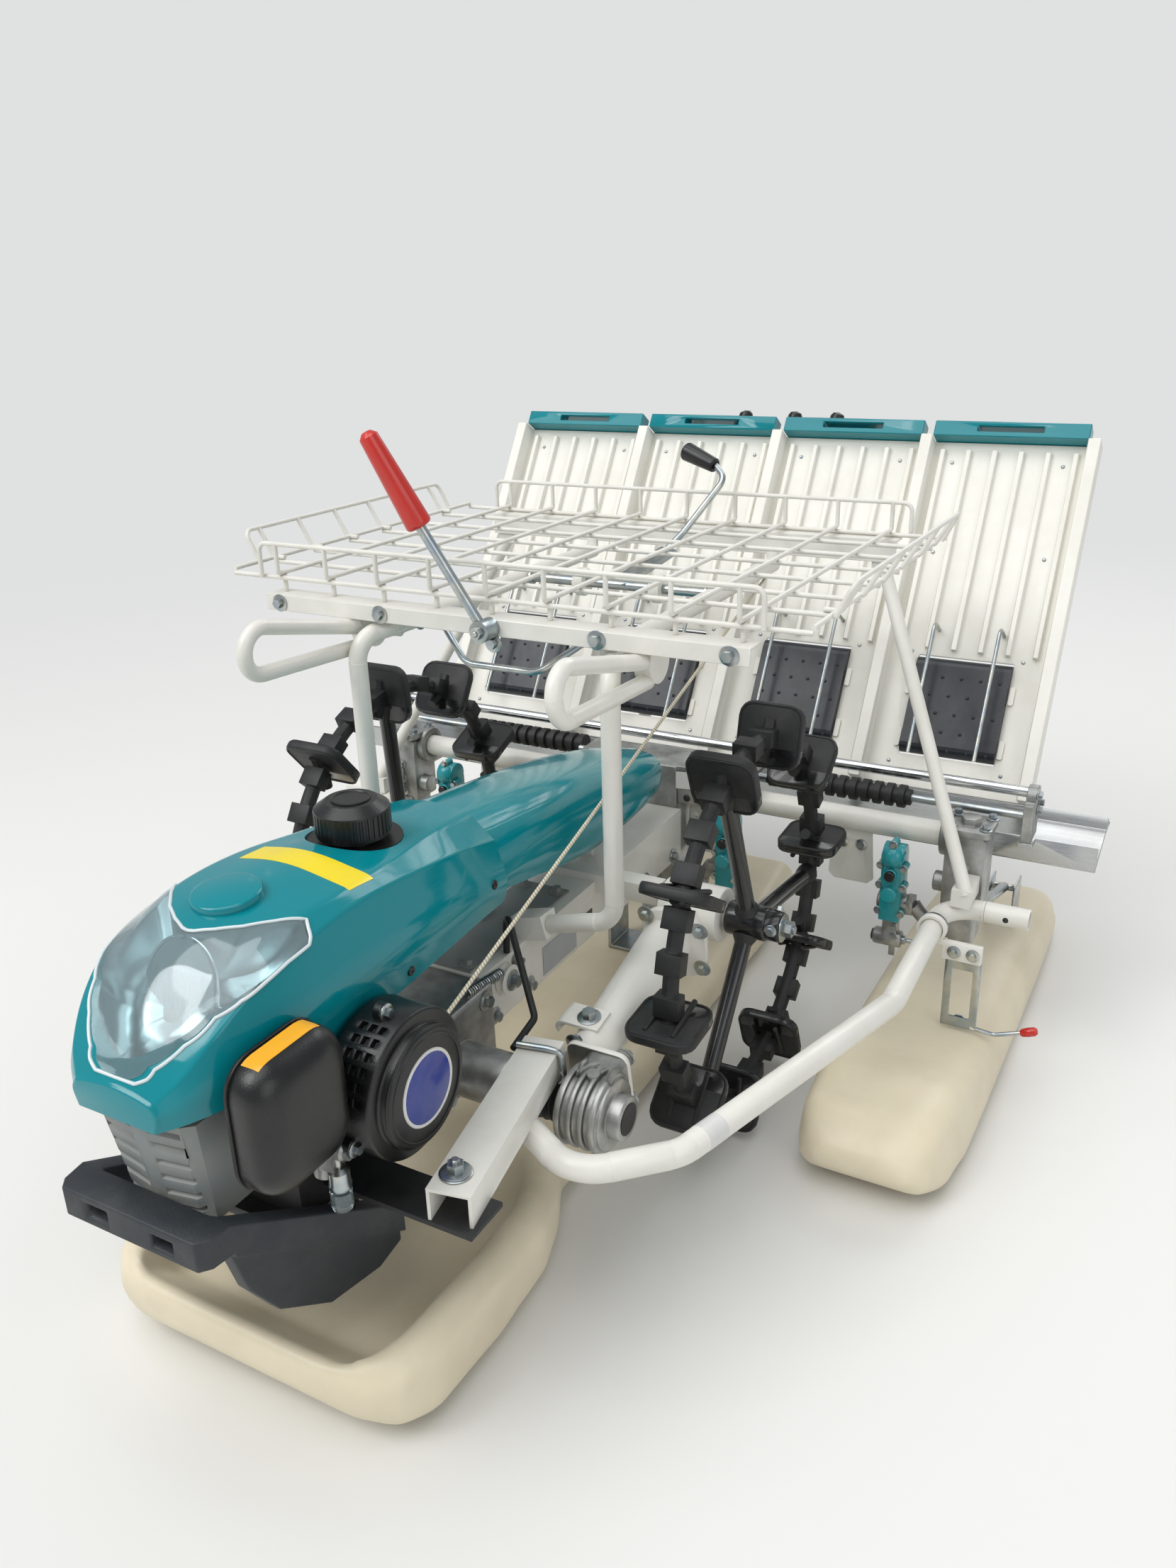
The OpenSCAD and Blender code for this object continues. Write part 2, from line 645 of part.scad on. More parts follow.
// Side float rows: y share, half width share, bottom z, waist z, top z
side_rows = [
    [0, 0.55, 52, 64, 84],
    [0.025, 0.78, 26, 56, 104],
    [0.07, 0.92, 8, 48, 120],
    [0.16, 0.99, 1, 44, 124],
    [0.28, 1, 0, 44, 108],
    [0.36, 1, 0, 44, 96],
    [0.7, 1, 0, 44, 98],
    [0.92, 0.96, 4, 44, 84],
    [1, 0.8, 18, 40, 66]];
side_float_y = -150;
function side_top(y) = lookup((y - side_float_y) / side_float_l, [for (r = side_rows) [r[0], r[4]]]);
function side_ring(y, w, zb, zm, zt) = [for (p = [[w - 14, zb], [w, mix(zb, zm, 0.4)], [w, zm],
    [w - 14, mix(zm, zt, 0.7)], [w - 32, mix(zm, zt, 0.94)], [w - 52, zt], [-w + 40, zt],
        [-w + 20, mix(zm, zt, 0.94)],
    [-w + 6, mix(zm, zt, 0.7)], [-w, zm], [-w, mix(zb, zm, 0.4)], [-w + 14, zb]]) [p[0], y, p[1]]];
module side_float(side) sided(side) {
    color("#e8dfc8") translate([side_float_x, side_float_y, 0])
        loft([for (r = side_rows) side_ring(r[0] * side_float_l, r[1] * side_float_w / 2, r[2], r[3],
            r[4])]);
}
module side_float_left() side_float(1);
module side_float_right() side_float(-1);

// Float brackets: zinc U brackets on the side floats and posts from the beam to the centre float
module float_brackets() {
    hinge = [side_float_x + 32, 634, 158];
    low_z = side_top(hinge.y - 30) + seat_gap;
    foot_y = case_y + 24 + seat_gap;
    color("#aeb6b8") for (side = [-1, 1]) sided(side) {
        difference() {
            block([hinge.x - 25, hinge.y - 30, low_z], [hinge.x + 25, hinge.y + 30, hinge.z + 16]);
            block([hinge.x - 21, hinge.y - 31, low_z + 4], [hinge.x + 21, hinge.y + 31, hinge.z + 17]);
        }
        drum(hinge.x - 24, hinge.x + 24, hinge.y, hinge.z, 12);
        bar([case_x, foot_y + 4, shaft_z + 10], hinge, 18);
        block([case_x - 16, foot_y, shaft_z - 12], [case_x + 16, foot_y + 6, shaft_z + 32]);
    }
    color("#aeb6b8") for (b = [[-560, 54.3, engine_low_z - 12], [250, 89, beam_low_z]]) difference() {
        block([-38, b[0] - 36, b[1]], [38, b[0] + 36, b[2] - seat_gap]);
        block([-32, b[0] - 37, b[1] + 6], [32, b[0] + 37, b[2] - 6]);
    }
}

// Planting section: cross beam, middle gearbox and end gear cases
case_y = 350;
gearbox_y = 316;
shaft_z = 207;
shaft_y = 338;
case_top_z = beam_z + beam_d / 2 + 12;
module planting_beam() {
    color("#e9e7e0") drum(32.3 - case_x, case_x - 32.3, beam_y, beam_z, beam_d);
}
module planting_gearbox() {
    color("#bfc0be") difference() {
        union() {
            block([-52, gearbox_y, 178], [52, 416, 424]);
            block([-150, gearbox_y + 8, 352], [190, gearbox_y + 16, 424]);
            block([-150, gearbox_y + 8, 416], [190, 396, 424]);
            drum(-82, 82, shaft_y, shaft_z, 40);
        }
        drum(-60, 60, beam_y, beam_z, beam_d + 2 * seat_gap);
    }
}
module gear_case(side) sided(side) {
    color("#c4c5c3") {
        round_block([case_x - 32, case_y - 30, 250], [case_x + 32, case_y + 36, case_top_z - 10], 12);
        round_block([case_x - 24, case_y - 34, 182], [case_x + 24, case_y + 24, 262], 12);
        translate([case_x, case_y + 4, case_top_z - 10]) linear_extrude(10) polygon(round_rect(74, 78, 10));
        translate([case_x, case_y + 4, case_top_z]) cylinder(h = 12, d = 34, $fn = 6);
        drum(case_x - 50, case_x - 30, 345, 287, 34);
        drum(case_x - 40, case_x - 20, shaft_y, shaft_z, 36);
        difference() {
            drum(case_x - 46, case_x - 31, beam_y, beam_z, beam_d + 30);
            drum(case_x - 47, case_x - 32.1, beam_y, beam_z, beam_d + 2 * seat_gap);
        }
    }
}
module gear_case_left() gear_case(1);
module gear_case_right() gear_case(-1);

// Planting arm 1 to 4, from the right side of the machine to the left. Each one hangs on a crank from the
// gear case or gearbox beside it and ends in a steel claw over a roller
arm_w = 34;
module planting_arm(i) {
    x = abs(i - 2.5) * row_pitch;
    crank_dir = x > row_pitch ? 1 : -1;
    seat_x = crank_dir > 0 ? case_x - 40 - seat_gap : 82 + seat_gap;
    sided(i > 2.5 ? 1 : -1) {
        color("#13959b") {
            translate([x - arm_w / 2, 327, 326]) rotate([0, 90, 0]) cylinder(h = arm_w, d = 46);
            block([x - arm_w / 2, 308, 212], [x + arm_w / 2, 350, 318]);
            barrel(x, 300, 330, 300, 22);
            barrel(x, 298, 330, 266, 26);
        }
        color("#c9c9c6") {
            drum(x - arm_w / 2 - 8, x + arm_w / 2 + 8, 334, 238, 34);
            place([x + crank_dir * (arm_w / 2 + 7), 334, 238], unit([0, 31, 4]), [crank_dir, 0, 0])
                linear_extrude(12) polygon([[-15, -12], [15, -12], [15, 12], [-15, 12]]);
            bar([x + crank_dir * (arm_w / 2 + 18), 334, 238], [seat_x - crank_dir * 12, shaft_y, shaft_z],
                26, 22);
            drum(min(seat_x, seat_x - crank_dir * 22), max(seat_x, seat_x - crank_dir * 22), shaft_y,
                shaft_z, 30);
            block([x - 12, 318, 168], [x + 12, 342, 214]);
            drum(x - 28, x + 20, 331, 170, 30);
            block([x - 5, 344, 128], [x + 5, 350, 214]);
        }
    }
}
module planting_arm_1() planting_arm(1);
module planting_arm_2() planting_arm(2);
module planting_arm_3() planting_arm(3);
module planting_arm_4() planting_arm(4);

// Lateral feed shaft in its bellows, between the gearbox and two brackets
feed_y = 424;
feed_z = 394;
bellow_from = 192;
bellow_to = 446;
bellow_folds = 12;
module feed_shaft() {
    pitch = (bellow_to - bellow_from) / bellow_folds;
    color("#1d1e20") for (side = [-1, 1]) sided(side) {
        drum(bellow_from, bellow_to, feed_y, feed_z, 28);
        for (i = [0:bellow_folds - 1]) drum(bellow_from + pitch * i, bellow_from + pitch * (i + 0.55),
            feed_y, feed_z, 40);
    }
    color("#b9bcbe") for (side = [-1, 1]) sided(side) {
        drum(52 + seat_gap, bellow_from + 2, feed_y - 22, feed_z, 14);
        drum(bellow_to - 2, bracket_x - 8 - seat_gap, feed_y, feed_z, 14);
    }
}

// Press bar over the tray's foot, on two end brackets from the rail
bar_y = 456;
bar_z = 424;
bracket_x = 640;
module press_bar() {
    color("#c8cacb") drum(-bracket_x, bracket_x, bar_y, bar_z, 18);
    color("#b4b6b6") for (side = [-1, 1]) sided(side) {
        drum(bracket_x - 8, bracket_x + 8, bar_y - 6, bar_z - 6, 44);
        block([bracket_x - 8, feed_y - 12, rail_z + 44 + seat_gap], [bracket_x + 8, bar_y + 12, bar_z - 8]);
    }
}

// Seedling rail: the long profile with a runner that the tray slides on, held by the gear cases
rail_y = 440;
rail_z = 306;
module seedling_rail() {
    runner_y = tray_low.y - tray_foot * cos(tray_slope) + tray_t * sin(tray_slope);
    runner_z = tray_low.z - tray_foot * sin(tray_slope) - tray_t * cos(tray_slope) - seat_gap;
    color("#c6c8c8") {
        translate([-rail_l / 2, 0, 0]) rotate([90, 0, 90]) linear_extrude(rail_l)
            polygon([[rail_y, rail_z], [rail_y + 96, rail_z + 30], [rail_y + 150, rail_z + 30],
                [rail_y + 150, rail_z + 34], [rail_y + 92, rail_z + 34], [rail_y + 4, rail_z + 8],
                [rail_y + 4, rail_z + 44], [rail_y, rail_z + 44]]);
        block([-rail_l / 2, runner_y - 6, rail_z + 30], [rail_l / 2, runner_y + 6, runner_z]);
        for (side = [-1, 1]) sided(side) {
            block([case_x - 20, case_y + 36 + seat_gap, rail_z + 4], [case_x + 20, rail_y + 1,
                rail_z + 40]);
            block([bracket_x - 12, feed_y - 12, rail_z + 36], [bracket_x + 12, rail_y + 1, rail_z + 44]);
        }
    }
}

// Splash guards: white plates that hang from the beam beside each planting arm
module splash_guards() {
    low_z = 246;
    hang_z = beam_z - beam_d / 2 - seat_gap;
    slant = 6;
    corner = 10;
    color("#ecebe6") for (x = [[-405, -325], [-112, -52.3], [52.3, 112], [325, 405]])
        place([0, beam_y + 1, 0], [1, 0, 0], [0, -1, 0]) linear_extrude(4) difference() {
            polygon([[x[0] + slant, hang_z], [x[0], low_z + corner], [x[0] + corner, low_z],
                [x[1] - corner, low_z],
                [x[1], low_z + corner], [x[1] - slant, hang_z]]);
            for (along = [0.3, 0.7]) translate([mix(x[0], x[1], along), hang_z - 26]) circle(d = 9);
        }
}

// Rack: posts, side rails, a front angle and a rear channel
rack_front_y = -172;
rail_tube_x = 175;
rail_tube_z = 772;
angle_top_z = 809;
rack_end_y = 440;
rack_top_z = basket_z - wire_d * 1.5 - weld_gap - seat_gap;
grip_x = 220;
module rack_frame() {
    color("#e9e7e0") {
        for (side = [-1, 1]) sided(side) {
            bent_bar([rack_foot, rack_bend, [post_x, -212, rail_tube_z - 7],
                [rail_tube_x, -130, rail_tube_z],
                [rail_tube_x, rack_end_y + 4, rail_tube_z]], rack_d, 40);
            block([rail_tube_x - 10, -164, rail_tube_z - 4], [rail_tube_x + 10, -150, angle_top_z - 2]);
            block([rail_tube_x - 10, rack_end_y - 2, rail_tube_z - 8], [rail_tube_x + 10, rack_end_y + 6,
                800]);
            drum(rail_tube_x, grip_x - seat_gap, grip_y, grip_z, 20);
        }
        block([-387, -190, 785], [387, -186, angle_top_z]);
        block([-387, -190, angle_top_z - 4], [387, -150, angle_top_z]);
        block([-387, rack_end_y, 790], [387, rack_end_y + 4, rack_top_z]);
        block([-387, rack_end_y, rack_top_z - 4], [387, rack_end_y + 36, rack_top_z]);
    }
}

// Wire basket
basket_front = rack_front_y;
long_wires = 11;
cross_wires = 8;
module basket() {
    floor_z = basket_z;
    cross_z = floor_z - wire_d - weld_gap;
    rail_out = 30;
    color("#eceae4") {
        for (i = [0:long_wires - 1]) {
            x = -basket_w / 2 + basket_w / (long_wires - 1) * i;
            bar([x, basket_front, floor_z], [x, basket_front + basket_l, floor_z], wire_d);
        }
        for (i = [0:cross_wires - 1]) {
            y = basket_front + basket_l / (cross_wires - 1) * i;
            bar([-basket_w / 2, y, cross_z], [basket_w / 2, y, cross_z], wire_d);
        }
        for (i = [1:long_wires - 2]) {
            x = -basket_w / 2 + basket_w / (long_wires - 1) * i;
            bar([x, basket_front + wire_d + weld_gap, angle_top_z + seat_gap],
                [x, basket_front + wire_d + weld_gap, floor_z - wire_d / 2 - weld_gap], wire_d);
        }
        for (side = [-1, 1]) bent_bar([[side * (basket_w / 2 + wire_d + weld_gap), basket_front + 60,
            floor_z],
            [side * (basket_w / 2 + rail_out), basket_front + 60, floor_z + basket_rail_h],
            [side * (basket_w / 2 + rail_out), basket_front + basket_l - 60, floor_z + basket_rail_h],
            [side * (basket_w / 2 + wire_d + weld_gap), basket_front + basket_l - 60, floor_z]], wire_d,
                14);
        for (y = [basket_front - wire_d - weld_gap, basket_front + basket_l + wire_d + weld_gap])
            bent_bar([[-basket_w / 2 + 60, y, cross_z], [-basket_w / 2 + 60, y, floor_z + basket_rail_h],
                [basket_w / 2 - 60, y, floor_z + basket_rail_h], [basket_w / 2 - 60, y, cross_z]], wire_d,
                    14);
    }
}

// Front grips: a loop of tube on a round pivot, one each side
grip_y = -145;
grip_z = 764;
module front_grip(side) sided(side) {
    x = grip_x + 12;
    color("#e9e7e0") {
        drum(grip_x, grip_x + 24, grip_y, grip_z, 58);
        bent_bar([[x, grip_y - 14, grip_z + 2], [x, -400, grip_z + 60], [x + 4, -404, grip_z - 10],
            [x, grip_y - 14, grip_z - 24]], 22, 32);
    }
}
module front_grip_left() front_grip(1);
module front_grip_right() front_grip(-1);

// Front lever on the rack's angle, and the bent rod between the rails
front_grip_low = [-58, -236, 936];
front_grip_high = [-107, -265, 1052];
module front_lever_grip() {
    along = unit(front_grip_high - front_grip_low);
    color("#d3281e") {
        bar(front_grip_low + along * seat_gap, front_grip_high, 36, 26);
        bar(front_grip_high, front_grip_high + along * 7, 26, 12);
    }
}

module front_lever() {
    pivot = [12, -206, 797];
    color("#b9bcbe") {
        barrel(pivot.x, -218, -190 - seat_gap, pivot.z, 30);
        bar(pivot, front_grip_low, 14);
    }
    end_x = rail_tube_x - rack_d / 2 - seat_gap;
    rod_y = -116;
    color("#b9bcbe") bent_bar([[-end_x, rod_y, rail_tube_z], [-120, rod_y, rail_tube_z], [-60, -150, 728],
        [60, -150, 728], [120, rod_y, rail_tube_z], [end_x, rod_y, rail_tube_z]], 10, 40);
}

// Rear lever: a bent rod with a knob on a flat arm, which turns on a cross rod between the rails
rear_rod_d = 11;
rear_rod_bend = [104, 400, 919];
rear_rod_end = [70, 424, 941];
module rear_lever_knob() {
    along = unit(rear_rod_end - rear_rod_bend);
    color("#1d1e20") difference() {
        bar([78, 418, 936], [16, 436, 956], 24, 32);
        bar(rear_rod_end - along * 24, rear_rod_end + along, rear_rod_d + 2 * seat_gap);
    }
}

module rear_lever() {
    cross = [0, 203, rail_tube_z];
    arm_top = [48, 300, 814];
    arm_dir = unit(arm_top - cross);
    end_x = rail_tube_x - rack_d / 2 - seat_gap;
    color("#b9bcbe") {
        drum(-end_x, end_x, cross.y, cross.z, 16);
        place(cross, unit([arm_dir.y, -arm_dir.x, 0]), arm_dir) translate([-20, -4, 0])
            cube([40, 8, norm(arm_top - cross)]);
        bent_bar([arm_top - arm_dir * 20, [60, 326, 838], rear_rod_bend, rear_rod_end], rear_rod_d, 26);
    }
}

// Stays from the rear channel down to the end gear cases, with a foot plate at each end
module rack_stays() {
    top = [363, rack_end_y + 18, 784];
    low = [case_x + 20, case_y - 89, guard_z + guard_d / 2 + 20];
    color("#e9e7e0") for (side = [-1, 1]) sided(side) {
        bar(low, top, 22);
        block([top.x - 16, rack_end_y + 5, 778], [top.x + 16, rack_end_y + 32, 784]);
        block([top.x - 16, rack_end_y + 4 + seat_gap, 778], [top.x + 16, rack_end_y + 9, 816]);
        block([low.x - 22, low.y - 8, guard_z + guard_d / 2 + seat_gap],
            [low.x + 8, case_y - 30 - seat_gap, low.z + 10]);
    }
}

// Starter rope, from the recoil housing up to the rack's side rail
rope_d = 5;
rope_x = 178;
rope_from = [rope_x, engine_y + 78.2, crank_z + (recoil_d / 2 - 48)];
rope_to = [rope_x, 400, rail_tube_z - rack_d / 2 - rope_d / 2 - seat_gap];
module starter_rope() {
    color("#e5dcc0") bar(rope_from, rope_to, rope_d);
}

// Handlebar: two tubes from the gearbox under the rail and up behind the tray
handle_x = 290;
module handlebar() {
    color("#e9e7e0") for (side = [-1, 1]) sided(side)
        bent_bar([[36, 416 + seat_gap, 270], [36, 500, 270], [190, 640, 290], [250, 980, 720],
            [276, 1066, 850],
            [handle_x, 1130, 856], [handle_x, 1150, 856]], rack_d, 40);
    color("#e9e7e0") drum(-262, 262, 1012, 768, 22);
    color("#1d1e20") for (side = [-1, 1]) barrel(side * handle_x, 1130, 1250, 856, 34);
}
module control_panel() {
    color("#2a2c2e") round_block([-150, 980, 779 + seat_gap], [150, 1050, 852], 14);
}

// Seedling tray in its own frame: x across, y up the slope, z out of the front face
tray_low = [0, 553, 395];
tray_rest_x = 13;
section_w = row_pitch;
tray_foot = 30;
module on_tray() {
    translate([tray_rest_x, tray_low.y, tray_low.z]) rotate([tray_slope, 0, 0]) children();
}
belt_l = 190;
belt_low = 30;
rib_count = 6;
slab_t = 6;
rod_z = 30;
rod_d = 7;
module tray_panel() {
    color("#f2f0e9") on_tray() difference() {
        union() {
            translate([-2 * section_w - 2, -tray_foot, -tray_t]) cube([4 * section_w + 4,
                tray_l + tray_foot, slab_t]);
            for (i = [0:4]) translate([(i - 2) * section_w - 11, -tray_foot, -tray_t])
                cube([22, tray_l + tray_foot, tray_t + 18]);
            for (s = [0:3]) for (i = [0:rib_count - 1])
                translate([(s - 1.5) * section_w - 120 + 240 / (rib_count - 1) * i - 5,
                    belt_low + belt_l + 12, -tray_t])
                    cube([10, tray_l - belt_low - belt_l - 30, tray_t - 6]);
        }
        for (s = [0:3]) translate([(s - 1.5) * section_w - belt_w / 2, belt_low, -tray_t - 1])
            cube([belt_w, belt_l, tray_t + 2]);
    }
}
module tray_belts() {
    color("#232527") on_tray() for (s = [0:3])
        translate([(s - 1.5) * section_w, belt_low + belt_l / 2, 2 - tray_t]) rotate([90, 0, 90])
            linear_extrude(belt_w - 2 * seat_gap, center = true) polygon(round_rect(belt_l - 8, 34, 16));
}
module tray_rods() {
    top_y = belt_low + belt_l + 50;
    color("#b9bcbe") on_tray() for (s = [0:3]) for (side = [-1, 1]) {
        x = (s - 1.5) * section_w + side * 58;
        bent_bar([[x, top_y, slab_t - tray_t + seat_gap], [x, top_y, rod_z], [x, 24, rod_z]], rod_d, 14);
    }
}
module tray_caps() {
    color("#13959b") on_tray() for (s = [0:3])
        translate([(s - 1.5) * section_w - 140, tray_l + seat_gap, -tray_t]) difference() {
            cube([280, 30, 34]);
            translate([80, 10, -1]) cube([120, 12, 36]);
        }
}

engine_block();
recoil_starter();
air_cleaner();
muffler_guard();
hood();
headlamp_lens();
headlamp_reflector();
tail_cover();
fuel_cap();
bumper();
chassis_frame();
transmission_case();
engine_cradle();
side_guard_left();
side_guard_right();
guard_end_left();
guard_end_right();
line_markers();
centre_float();
side_float_left();
side_float_right();
float_brackets();
planting_beam();
planting_gearbox();
gear_case_left();
gear_case_right();
planting_arm_1();
planting_arm_2();
planting_arm_3();
planting_arm_4();
press_bar();
feed_shaft();
seedling_rail();
splash_guards();
rack_frame();
basket();
front_grip_left();
front_grip_right();
front_lever();
front_lever_grip();
rear_lever();
rear_lever_knob();
rack_stays();
starter_rope();
handlebar();
control_panel();
swing_case_left();
swing_case_right();
wheel_left();
wheel_right();
tray_panel();
tray_belts();
tray_rods();
tray_caps();
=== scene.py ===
"""Dresses a walk-behind rice transplanter: finishes, moulded skins, headlamp, labels, fasteners and studio."""

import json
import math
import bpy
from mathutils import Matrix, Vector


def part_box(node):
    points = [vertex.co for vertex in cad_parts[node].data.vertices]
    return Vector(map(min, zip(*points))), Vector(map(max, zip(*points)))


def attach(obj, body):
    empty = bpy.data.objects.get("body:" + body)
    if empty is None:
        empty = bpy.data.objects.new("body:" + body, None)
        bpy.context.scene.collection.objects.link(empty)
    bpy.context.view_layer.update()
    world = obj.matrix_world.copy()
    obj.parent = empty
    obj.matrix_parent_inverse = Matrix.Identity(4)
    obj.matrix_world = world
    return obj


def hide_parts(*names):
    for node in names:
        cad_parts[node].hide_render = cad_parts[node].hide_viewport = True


bl_info = {
    "name": "Rice Transplanter Dressing",
    "version": (1, 0, 0),
    "blender": (4, 5, 0),
    "location": "View3D > Sidebar > Transplanter",
    "description": "Builds the finishes and fine pieces of a walk-behind rice transplanter round its CAD frame",
    "category": "Object",
}

import bmesh
import bpy
from mathutils import Matrix, Vector
from mathutils.bvhtree import BVHTree

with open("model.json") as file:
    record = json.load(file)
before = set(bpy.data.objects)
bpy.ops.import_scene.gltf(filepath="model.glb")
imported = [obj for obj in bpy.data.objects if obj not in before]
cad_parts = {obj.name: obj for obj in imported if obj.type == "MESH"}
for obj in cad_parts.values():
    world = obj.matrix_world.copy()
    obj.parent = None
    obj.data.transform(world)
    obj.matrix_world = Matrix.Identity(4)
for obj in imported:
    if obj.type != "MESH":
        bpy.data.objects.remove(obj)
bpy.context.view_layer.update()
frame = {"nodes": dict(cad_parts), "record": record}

MM = 0.001
# In millimetres: the height of the wheels' axle, the middles of the four rows, and the fuel filler
AXLE_Z = 331
ROWS = (-450, -150, 150, 450)
FILLER_Y = -494
X_AXIS, Y_AXIS, Z_AXIS = Vector((1, 0, 0)), Vector((0, 1, 0)), Vector((0, 0, 1))
SIDES = (("left", 1), ("right", -1))


def mm(x, y, z):
    """A point given in millimetres, as a vector in metres."""
    return Vector((x, y, z)) * MM


def mirrored(point, side):
    """The same point on the left side (side 1) or the right side (side -1)."""
    return Vector((point[0] * side, point[1], point[2]))


def spoke(angle):
    """The direction out from a wheel's axle at an angle from straight up."""
    return Vector((0, -math.sin(angle), math.cos(angle)))


# Colours and shader nodes


def to_linear(hex_colour):
    """sRGB hex to the linear colour that the shaders use."""
    channels = [int(hex_colour[i:i + 2], 16) / 255 for i in (1, 3, 5)]
    linear = [c / 12.92 if c <= 0.04045 else ((c + 0.055) / 1.055) ** 2.4 for c in channels]
    return (*linear, 1.0)


def add(tree, kind, inputs=(), **settings):
    """Adds one shader node with its settings. Its inputs are in order, or by name or number in a dict.

    An input is a value, a socket to link from, or a node, whose first output is linked.
    """
    node = tree.nodes.new("ShaderNode" + kind)
    for name, value in settings.items():
        setattr(node, name, value)
    for socket, value in (inputs.items() if isinstance(inputs, dict) else enumerate(inputs)):
        if isinstance(value, bpy.types.Node):
            value = value.outputs[0]
        if isinstance(value, bpy.types.NodeSocket):
            tree.links.new(value, node.inputs[socket])
        else:
            node.inputs[socket].default_value = value
    return node


def per_mm(size):
    """Texture scale, in repeats per metre, of a pattern whose grains are size millimetres across."""
    return 1 / (size * MM)


def pattern(tree, place, size, detail=3.0, roughness=0.5, stretch=None):
    """A pattern with grains size millimetres across, drawn out into lines where there is a stretch.

    It is smooth noise, or with no detail the pebbles of a spark-eroded mould.
    """
    if stretch:
        place = add(tree, "Mapping", {"Vector": place, "Scale": stretch})
    if not detail:
        return add(tree, "TexVoronoi", {"Vector": place, "Scale": per_mm(size)})
    settings = {"Vector": place, "Scale": per_mm(size), "Detail": detail, "Roughness": roughness}
    return add(tree, "TexNoise", settings)


def drifting(tree, place, first, second, size, detail=3.0, roughness=0.5, low=0.35, high=0.7):
    """A colour that drifts between two tones over size millimetres."""
    drift = add(tree, "MapRange", [pattern(tree, place, size, detail, roughness), low, high, 0.0, 1.0])
    return add(tree, "Mix", {0: drift, 6: to_linear(first), 7: to_linear(second)}, data_type="RGBA").outputs[2]


def dusted_and_corner_shaded(tree, place, colour, dust_and_shade_hex, amount, patch):
    """A colour under a thin uneven film of dust, thicker in corners closer than 12 mm.

    The corner part follows ambient occlusion: on the pale finishes it is a painted shade in corners and
    creases, on the black ones a pale film.
    """
    cloud = add(tree, "MapRange", [pattern(tree, place, patch, 5.0, 0.62), 0.42, 0.72, 0.0, amount])
    # Ambient occlusion within 12 mm: the colour laid by it is a painted shade in the corners and creases of the
    # pale finishes
    open_sky = add(tree, "AmbientOcclusion", {"Distance": 12 * MM}, samples=4).outputs["AO"]
    corner = add(tree, "MapRange", [open_sky, 0.55, 0.95, amount * 1.3, 0.0])
    film = add(tree, "Math", [cloud, corner], operation="MAXIMUM")
    return add(tree, "Mix", {0: film, 6: colour, 7: to_linear(dust_and_shade_hex)}, data_type="RGBA").outputs[2]


def finished(tree, place, looks, base, dust=None, relief=None, gloss=None, **constants):
    """The shader of a finish; its sizes are in millimetres and constants go on the shader's own sockets.

    base: sRGB hex or the name of a look; or two tones, and drifting's settings from its size on
    dust and corner shade: its colour, how much there is, and how wide its patches are; in corners the colour is
    a painted shade
    relief: the bump's depth, and its pattern's settings from its size on
    gloss: the pattern's range and the range of roughness that it gives, and the pattern's settings
    """
    tones, drift = ((base,), ()) if isinstance(base, str) else (base[:2], base[2:])
    tones = [getattr(looks, tone, tone) for tone in tones]
    colour = drifting(tree, place, *tones, *drift) if drift else to_linear(tones[0])
    sockets = {name.replace("_", " "): value for name, value in constants.items()}
    sockets["Base Color"] = dusted_and_corner_shaded(tree, place, colour, *dust) if dust else colour
    if gloss:
        sockets["Roughness"] = add(tree, "MapRange", [pattern(tree, place, *gloss[4:]), *gloss[:4]])
    if relief:
        height = pattern(tree, place, *relief[1:])
        sockets["Normal"] = add(tree, "Bump", {"Height": height, "Distance": relief[0] * MM})
    return add(tree, "BsdfPrincipled", sockets)


def laid_cord(tree, place, looks):
    """Three-strand nylon cord: its lays turn into slanting grooves of 4 mm along the cord."""
    # The cord climbs 17 degrees from the Y axis, so the turn lays the bands across it, a little skew
    skewed = add(tree, "Mapping", {"Vector": place, "Rotation": (-0.3, 0.0, 0.62)})
    waves = add(tree, "TexWave", {"Vector": skewed, "Scale": per_mm(4.0) / 3.3}, bands_direction="Y")
    bands = waves.outputs["Fac"]
    tones = {0: bands, 6: to_linear("#A79C80"), 7: to_linear("#EAE3CE")}
    tone = add(tree, "Mix", tones, data_type="RGBA").outputs[2]
    return add(tree, "BsdfPrincipled", {
        "Roughness": 0.7, "IOR": 1.53, "Sheen Weight": 0.3,
        # Its dust also darkens the cord's corners by ambient occlusion: a painted shade
        "Base Color": dusted_and_corner_shaded(tree, place, tone, "#8F8672", 0.3, 30),
        "Normal": add(tree, "Bump", {"Height": bands, "Distance": 0.5 * MM})})


def floor_paint(tree, place, looks):
    """Matt floor paint in a pale even tone."""
    paint = finished(tree, place, looks, "floor_hex", relief=(0.1, 40, 2), Roughness=0.55, IOR=1.5)
    # Far off, the eye sees the backdrop's own tone in place of the floor's edge
    distance = add(tree, "VectorMath", [place], operation="LENGTH").outputs["Value"]
    far = add(tree, "MapRange", [distance, 1.4, 5.0, 0.0, 1.0])
    seen = add(tree, "Math", [far, add(tree, "LightPath").outputs["Is Camera Ray"]], operation="MULTIPLY")
    haze = add(tree, "Emission", {"Color": to_linear(looks.backdrop_hex), "Strength": 1.0})
    return add(tree, "MixShader", [seen, paint, haze])
